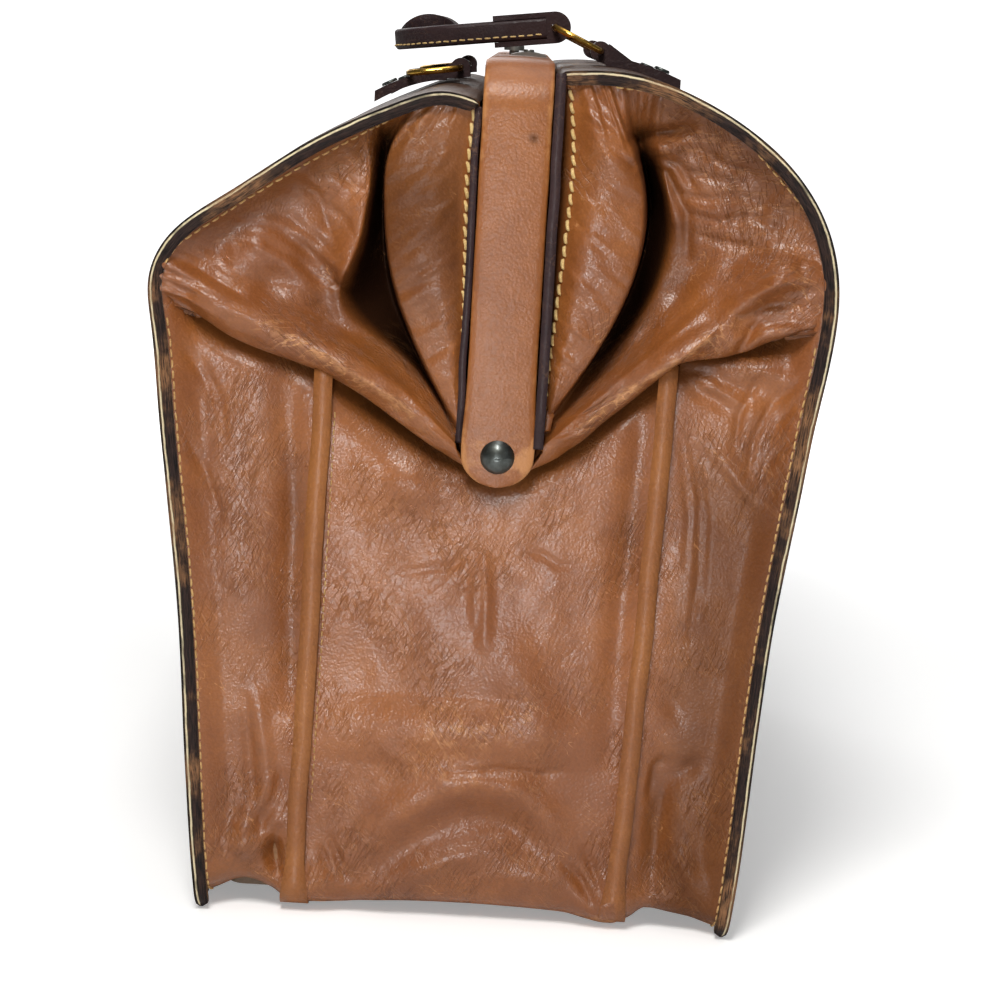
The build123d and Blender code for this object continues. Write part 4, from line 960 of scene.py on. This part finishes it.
# stay ribs up the end gusset: y at the heights in "at"
ribs = {
    "at": [0, 100, 210], "front": {"y": [-59.5, -58.2, -57.2], "top": 199.0},
    "rear": {"y": [55.6, 60.0, 63.2], "top": 207.0}, "width": 6.2, "proud": 4.6, "around": 14, "skirt": (0.2, 3.0),
    "outside": 1.0, "below": 0.4, "footSwell": (0.55, 6, 9), "footProud": 0.85}


def buildRib(side):
    # half-round section carried down the end, round the corner, under the base and up again
    spec, width = ribs[side["name"]], ribs["width"] / 2
    level = gusset["under"] - ribs["below"]
    wall = np.linspace(spec["top"], level + gusset["corner"], 90)[:-1, None]
    x, z = (part[:, 0] for part in archLine(
        wall, gusset["face"] + ribs["outside"], level, gusset["corner"], -1, 18, 61)[:2])
    path = together(x, easyThrough(z, ribs["at"], spec["y"]), z)
    angle = np.linspace(0, np.pi, ribs["around"])
    wider, sunk = ribs["skirt"]
    section = together(np.cos(angle) * width, np.sin(angle) ** 0.8 * ribs["proud"])
    section = np.concatenate([[[width + wider, -sunk]], section, [[-width - wider, -sunk]]])
    # lower at its two ends, swollen near the base and flatter under it
    grow = np.sqrt(np.clip(fromEnds(len(path)) / 3.0, 0.02, 1))
    swell, height, reach = ribs["footSwell"]
    across = section[None, :, 0] * (1 + swell * bell(z - height, reach) * (np.abs(x) > 190))[:, None]
    out = section[None, :, 1] * grow[:, None]
    out = np.where(out > 0, out * np.where(z < 8, ribs["footProud"], 1.0)[:, None], out)
    worn = 0.35 + 0.4 * unevenness(path, 14, 42)[:, None] + 0.5 * (z < 14)[:, None]
    path = path + np.array([0, 1, 0]) * unevenness(path, 22, 41)[:, None] * 0.5
    p = sweepSection(path, (0, 1, 0), together(across, out))
    p[..., 2] = np.maximum(p[..., 2], 0.1)
    crown = np.clip(np.sin(np.linspace(0, np.pi, p.shape[1])) ** 3, 0, 1)
    obj = tubeMesh(side["name"] + "Rib", p, flip=True, masks={"rubbed": np.clip(crown * worn, 0, 1)})
    dress(obj, "light_tan_leather", ribLeather)
    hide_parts(side["name"] + "_stay_rib")
    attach(obj, "case")


for side in (frontSide, rearSide):
    buildRib(side)
print("ribs ready")

# leather strip over the closed frame: bulge is (more width, height, reach), worn is (height, reach, share),
# and scuff and spot are ((y, z), their reach, share)
strip = {
    "y": 5.0, "half": 12.0, "inner": 208.4, "foot": 161.2, "top": 309.0, "thickness": 2.3, "corner": 17.0,
    "footRound": 10, "bulge": (0.9, 176, 12), "flatShare": 0.8, "crown": (0.25, 0.47),
    "lip": {"at": [0.93, 0.99, 1], "drop": [-0.2, -0.55, -1.1], "back": 0.97, "backDrop": -2.3},
    "worn": [(172, 9, 0.5), (298, 9, 0.3)], "scuff": ((14.0, 171), (1.7, 3.4), 1.1),
    "spot": ((11.0, 283), (1.6, 1.5), 0.8)}


def roundSpot(p, place, reach, share):
    # a bell round one place on both ends
    return share * np.exp(-(((p[..., 1] - place[0]) / reach[0]) ** 2 + ((p[..., 2] - place[1]) / reach[1]) ** 2))


def buildStrip():
    # flat section with skived edges carried over the frame; its width closes to a round foot at both ends
    foot, footRound, level = strip["foot"], strip["footRound"], strip["top"]
    wall = np.linspace(foot, level - strip["corner"], 120)[:-1]
    wall = np.concatenate([foot + footRound * (1 - np.cos(np.linspace(0, np.pi / 2, 16)))[:-1],
                           wall[wall > foot + footRound]])
    x, z = (part[:, 0] for part in archLine(
        wall[:, None], strip["inner"] + strip["thickness"], level, strip["corner"], 1, 14, 121)[:2])
    path = together(x, strip["y"], z)
    up = np.clip((z - foot) / footRound, 0, 1)
    width = strip["half"] * np.sqrt(np.clip(1 - (1 - up) ** 2, 0.004, 1))
    more, height, reach = strip["bulge"]
    width = width + more * bell(z - height, reach) + 0.15 * unevenness(path, 15, 51)
    flat = np.linspace(-strip["flatShare"], strip["flatShare"], 17)
    lip, (crown, hang) = strip["lip"], strip["crown"]
    across = np.concatenate([-np.array(lip["at"][::-1]), flat, lip["at"], [lip["back"], -lip["back"]]])
    drop = np.concatenate([lip["drop"][::-1], crown - hang * flat ** 2, lip["drop"], [lip["backDrop"]] * 2])
    section = together(across[None] * width[:, None], drop[None])
    p = sweepSection(path, (0, 1, 0), section)
    rubbed = np.where(np.abs(across) > 0.9, 0.5, 0.12)[None] + 0.3 * unevenness(path, 28, 52)[:, None]
    rubbed = rubbed + sum(share * bell(z - height, reach) for height, reach, share in strip["worn"])[:, None]
    rubbed = np.clip(rubbed + roundSpot(p, *strip["scuff"]), 0, 1)
    # the spot is a dark stain, kept in the mask that holds painted shade elsewhere
    shadeAndStain = np.clip(roundSpot(p, *strip["spot"]), 0, 1)
    obj = tubeMesh("frameStrip", p, flip=True, masks={"rubbed": rubbed, "shadeAndStain": shadeAndStain})
    dress(obj, "light_tan_leather", strapLeather)
    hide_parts("frame_cover_strip")
    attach(obj, "front_frame")


buildStrip()
print("strip ready")

# binding beside each arm: sunk out of sight at the front, a dark welt as high as the strip at the rear
welts = {
    "front": {"y": (-10.0, -7.5), "out": 203.6, "high": 292.0},
    "rear": {"y": (17.5, 21.0), "out": 208.6, "high": 305.0},
    "low": 176.0, "across": [-1, -1, -0.8, -0.3, 0.3, 0.8, 1, 1],
    "drop": [-6.0, -0.8, -0.2, 0.1, 0.1, -0.2, -0.8, -6.0], "footDrop": (4.0, 14), "topDrop": (1.5, 8)}


def buildWelt(side, end, endName):
    # flat section with rounded lips carried up the arm, lower at its foot and top
    spec, low = welts[side["name"]], welts["low"]
    high, (front, rear) = spec["high"], spec["y"]
    (footDrop, footReach), (topDrop, topReach) = welts["footDrop"], welts["topDrop"]
    z = np.linspace(low, high, 90)
    x = spec["out"] - footDrop * (1 - step(z, low, low + footReach)) - topDrop * step(z, high - topReach, high)
    path = together(x * end, (front + rear) / 2, z)
    path[:, 1] += 0.35 * unevenness(path, 12, 71)
    section = together(np.array(welts["across"]) * (rear - front) / 2, np.array(welts["drop"]) * end)
    p = sweepSection(path, (0, -1, 0), section)
    obj = tubeMesh(side["name"] + "Welt" + endName, p, masks={"rubbed": 0.3})
    dress(obj, "dark_leather", inkedLeather)
    if end > 0:
        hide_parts(side["name"] + "_binding")
    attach(obj, side["body"])


for side in (frontSide, rearSide):
    for end, endName in ends:
        buildWelt(side, end, endName)
print("welts ready")

# stitches: sink is the share of the thread that lies in the leather
thread = {
    "panel": {"pitch": 3.7, "length": 2.9, "radius": 0.4, "sink": 0.35, "seed": 61},
    "arm": {"pitch": 4.4, "length": 4.0, "radius": 0.72, "sink": 0.2, "seed": 62, "lean": 14},
    "gusset": {"pitch": 3.7, "length": 2.9, "radius": 0.4, "sink": 0.35, "seed": 63},
    "rib": {"pitch": 3.0, "length": 2.2, "radius": 0.28, "sink": 0.6, "seed": 64},
    "handle": {"pitch": 3.3, "length": 2.4, "radius": 0.34, "sink": 0.45, "seed": 65},
    "panelRow": 0.978, "panelColumns": (2.2, 7.6), "armColumn": {"front": 4, "rear": 7}, "ribOffset": 4.4,
    "ribRows": {"Near": (14, 128), "Far": (-129, -15)}, "gussetColumns": {"front": 2, "rear": -3}}


def foldStitches(side, end, endName):
    # one row along the panel's seam, one slanting row beside the arm
    points = foldGrids[side["name"] + endName]
    normals = gridNormals(points)
    normals *= np.sign(normals[..., :1] * end + 1e-9)
    row = int(np.searchsorted(np.linspace(0, 1, folds["rows"]), thread["panelRow"]))
    cut = slice(*(int(c * folds["perLine"]) for c in thread["panelColumns"]))
    obj = stitchRow(side["name"] + "PanelStitches" + endName, points[row, cut], normals[row, cut], thread["panel"])
    dress(obj, "tan_leather", threadCord)
    bendWith(obj)
    column, look = thread["armColumn"][side["name"]], thread["arm"]
    obj = stitchRow(side["name"] + "ArmStitches" + endName, points[6:-4, column], normals[6:-4, column], look,
                    look["lean"] * end)
    dress(obj, "tan_leather", palerCord)
    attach(obj, side["body"])


def ribStitches(end, endName, normals):
    # beside the front rib: the gusset's point and normal at the rib's y on each row
    first, last = (k % len(gussetPoints) for k in thread["ribRows"][endName])
    line, normal = [], []
    for r in range(first, last):
        y = easyThrough(gussetPoints[r, 0, 2], ribs["at"], ribs["front"]["y"]) + thread["ribOffset"]
        k = np.interp(y, gussetPoints[r, :, 1], np.arange(gusset["columns"]))
        i = int(k)
        line.append(gussetPoints[r, i] + (k - i) * (gussetPoints[r, i + 1] - gussetPoints[r, i]))
        normal.append(normals[r, i] * np.sign(normals[r, i, 0] * end))
    obj = stitchRow("ribStitches" + endName, np.array(line), np.array(normal), thread["rib"])
    dress(obj, "tan_leather", threadCord)
    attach(obj, "case")


def gussetStitches(side, normals):
    # along the gusset's seam with the panel, down, under and up again
    column = thread["gussetColumns"][side["name"]]
    line, normal = gussetPoints[8:-8, column], normals[8:-8, column]
    outward = together(np.sign(line[:, 0]), 0.0, np.where(line[:, 2] < 30, -1.0, 0))
    normal = normal * np.sign(np.sum(normal * outward, 1, keepdims=True) + 1e-9)
    obj = stitchRow(side["name"] + "GussetStitches", line, normal, thread["gusset"])
    dress(obj, "tan_leather", threadCord)
    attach(obj, "case")


for side in (frontSide, rearSide):
    for end, endName in ends:
        foldStitches(side, end, endName)
gussetNormals = gridNormals(gussetPoints)
for end, endName in ends:
    ribStitches(end, endName, gussetNormals)
for side in (frontSide, rearSide):
    gussetStitches(side, gussetNormals)
print("stitches ready")

# the handle's side seam, round its outer edge: legs, corner arcs and front, then tilted on to the rings
seam = {"half": 75.0, "reach": 64.0, "corner": 34.0, "below": -2.3, "legEnd": -5, "pin": (17.33, 321.13), "tilt": 7.6}


def handleSeam():
    # half of the outline is a straight leg, a quarter circle and half the front; the other half mirrors it
    inner, turnAt = seam["half"] - seam["corner"], seam["corner"] - seam["reach"]
    a = np.linspace(0, np.pi / 2, 25)
    leg = together(seam["half"], np.linspace(seam["legEnd"], turnAt, 13)[:-1])
    arc = together(inner + seam["corner"] * np.cos(a), turnAt - seam["corner"] * np.sin(a))
    front = together(np.linspace(inner, 0, 14)[1:], -seam["reach"])
    facing = np.concatenate([0 * leg + [1, 0], together(np.cos(a), -np.sin(a)), 0 * front - [0, 1]])
    half = np.concatenate([leg, arc, front])
    flat, facing = (np.concatenate([part, part[-2::-1] * [-1, 1]]) for part in (half, facing))
    c, s = math.cos(math.radians(seam["tilt"])), math.sin(math.radians(seam["tilt"]))
    line = together(flat[:, 0], seam["pin"][0] + flat[:, 1] * c - seam["below"] * s,
                    seam["pin"][1] + flat[:, 1] * s + seam["below"] * c)
    normal = together(facing[:, 0], facing[:, 1] * c, facing[:, 1] * s)
    obj = stitchRow("handleStitches", line, normal, thread["handle"])
    dress(obj, "dark_leather", palerCord)
    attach(obj, "handle")


handleSeam()

# a frayed bit of hide where the rear panel meets the strip
fray = {"place": (205.5, 23.5, 303.5), "size": (3.2, 5.0, 2.6), "lumps": [(0.5, 0.45, 81), (0.22, 0.27, 82)]}


def buildFray():
    # ellipsoid whose radius wanders by a share of itself
    a, b = np.linspace(0.05, np.pi - 0.05, 22)[:, None], np.linspace(0, 2 * np.pi, 28, endpoint=False)[None]
    ball = together(np.sin(a) * np.cos(b), np.sin(a) * np.sin(b), np.cos(a))
    wander = 1 + lumps(ball, fray["lumps"])
    for end, endName in ends:
        p = (ball * wander[..., None] * fray["size"] + fray["place"]) * [end, 1, 1]
        obj = tubeMesh("frayedHide" + endName, p, flip=end < 0, masks={"rubbed": np.clip(wander - 0.5, 0, 1)})
        dress(obj, "light_tan_leather", strapLeather)
        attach(obj, "rear_frame")


buildFray()

# finishes of the parts that stay as they are
finishes = {
    inkedLeather: ["front_bar_cover", "rear_bar_cover", "front_chapes", "rear_chapes", "handle_strap", "handle_pad",
                   "handle_loops"],
    liningSuede: ["front_lining", "rear_lining", "divider", "divider_pocket"],
    greyBoard: ["base_board"],
    frameSteel: ["front_frame_bar", "rear_frame_bar", "lock_case", "lock_plate", "lock_screws", "lock_catch",
                 "lock_bolt"],
    darkSteel: ["frame_rivets", "rivet_washers", "front_chape_rivets", "rear_chape_rivets"],
    brass: ["front_ring_near", "front_ring_far", "rear_rings"]}
for made, names in finishes.items():
    for name in names:
        obj = nodes[name]
        if not obj.material_slots:
            obj.data.materials.append(made)
        for slot in obj.material_slots:
            slot.material = made

# floor, light and camera, in metres; the floor runs back and turns up into a wall
floor = {
    "half": 4.0, "near": 3.0, "turn": -1.8, "bend": 0.8, "high": 4.0,
    "shades": ((0.93, 0.93, 0.93, 1), (0.96, 0.96, 0.955, 1))}


def buildStage():
    # flat run, quarter circle and wall, as one profile carried across
    t, turn, bend = np.linspace(0, np.pi / 2, 60), floor["turn"], floor["bend"]
    run = np.linspace(floor["near"], turn, 20)[:-1]
    depth = np.concatenate([run, turn - bend * np.sin(t), [turn - bend]])
    rise = np.concatenate([0 * run, bend * (1 - np.cos(t)), [floor["high"]]])
    across = np.linspace(-floor["half"], floor["half"], 3)
    p = together(depth[:, None], across[None], rise[:, None])
    obj = gridMesh("floor", p / mm, flip=True)
    made, tree, shader, where = newMaterial("palePaper")
    plug(mixColour(noise(where, 60.0), *floor["shades"]), shader.inputs["Base Color"])
    shader.inputs["Roughness"].default_value = 0.9
    # the paper lifts to white for the camera, fully so away from the object
    seen = addNode(tree, "LightPath").outputs["Is Camera Ray"]
    apart = addNode(tree, "VectorMath", {0: where}, operation="LENGTH").outputs["Value"]
    plug(times(seen, remap(apart, 0.3, 1.2, 0.3, 1.0)), shader.inputs["Emission Strength"])
    shader.inputs["Emission Color"].default_value = (1, 1, 1, 1)
    obj.data.materials.append(made)


def areaLight(name, place, aim, size, power, colour=(1, 1, 1)):
    # a soft lamp that looks from its place to its aim
    data = bpy.data.lights.new(name, "AREA")
    data.shape = "RECTANGLE"
    data.size, data.size_y = size
    data.energy = power
    data.color = colour
    obj = bpy.data.objects.new(name, data)
    scene.collection.objects.link(obj)
    obj.location = place
    obj.rotation_mode = "QUATERNION"
    obj.rotation_quaternion = (Vector(aim) - Vector(place)).to_track_quat("-Z", "Y")


buildStage()
middle = (0.15, 0.0, 0.15)
areaLight("keyLight", (0.95, -0.14, 1.12), middle, (0.32, 0.46), 12.8, (1.0, 0.985, 0.96))
areaLight("sheenLight", (1.45, -0.1, 0.07), (0.2, 0.0, 0.115), (0.07, 0.09), 5.0, (0.94, 0.97, 1.0))
areaLight("fillLight", (1.2, 1.0, 0.7), middle, (0.5, 0.5), 0.9, (0.97, 0.98, 1.0))
areaLight("topLight", (0.05, 0.1, 1.5), middle, (0.8, 0.8), 6)
areaLight("backLight", (-1.4, -0.4, 1.0), middle, (0.9, 0.9), 6)

# the world is white to the camera and dim on the object
world = bpy.data.worlds.new("studio")
scene.world = world
world.use_nodes = True
tree = world.node_tree
back = tree.nodes["Background"]
back.inputs["Color"].default_value = (1, 1, 1, 1)
seen = addNode(tree, "LightPath").outputs["Is Camera Ray"]
plug(remap(seen, 0.0, 1.0, 0.1, 1.0), back.inputs["Strength"])

# roll in degrees; focal length in pixels of a picture 1000 wide
view = {"place": (1.155, 0.0068, 0.318), "aim": (0.205, 0.0068, 0.156), "roll": 3.4, "pixels": 2737.8, "sensor": 36.0}


def buildCamera():
    # looks from place to aim, its right and up turned by the roll
    data = bpy.data.cameras.new("camera")
    data.sensor_width = view["sensor"]
    data.lens = view["pixels"] / 1000 * view["sensor"]
    data.clip_start, data.clip_end = 0.05, 50
    obj = bpy.data.objects.new("camera", data)
    scene.collection.objects.link(obj)
    ahead = (Vector(view["aim"]) - Vector(view["place"])).normalized()
    right = ahead.cross(Vector((0, 0, 1))).normalized()
    upward = right.cross(ahead)
    c, s = math.cos(math.radians(view["roll"])), math.sin(math.radians(view["roll"]))
    right, upward = right * c + upward * s, upward * c - right * s
    obj.rotation_mode = "QUATERNION"
    obj.rotation_quaternion = Matrix((right, upward, -ahead)).transposed().to_quaternion()
    obj.location = view["place"]
    scene.camera = obj


buildCamera()
scene.view_settings.view_transform = "Standard"
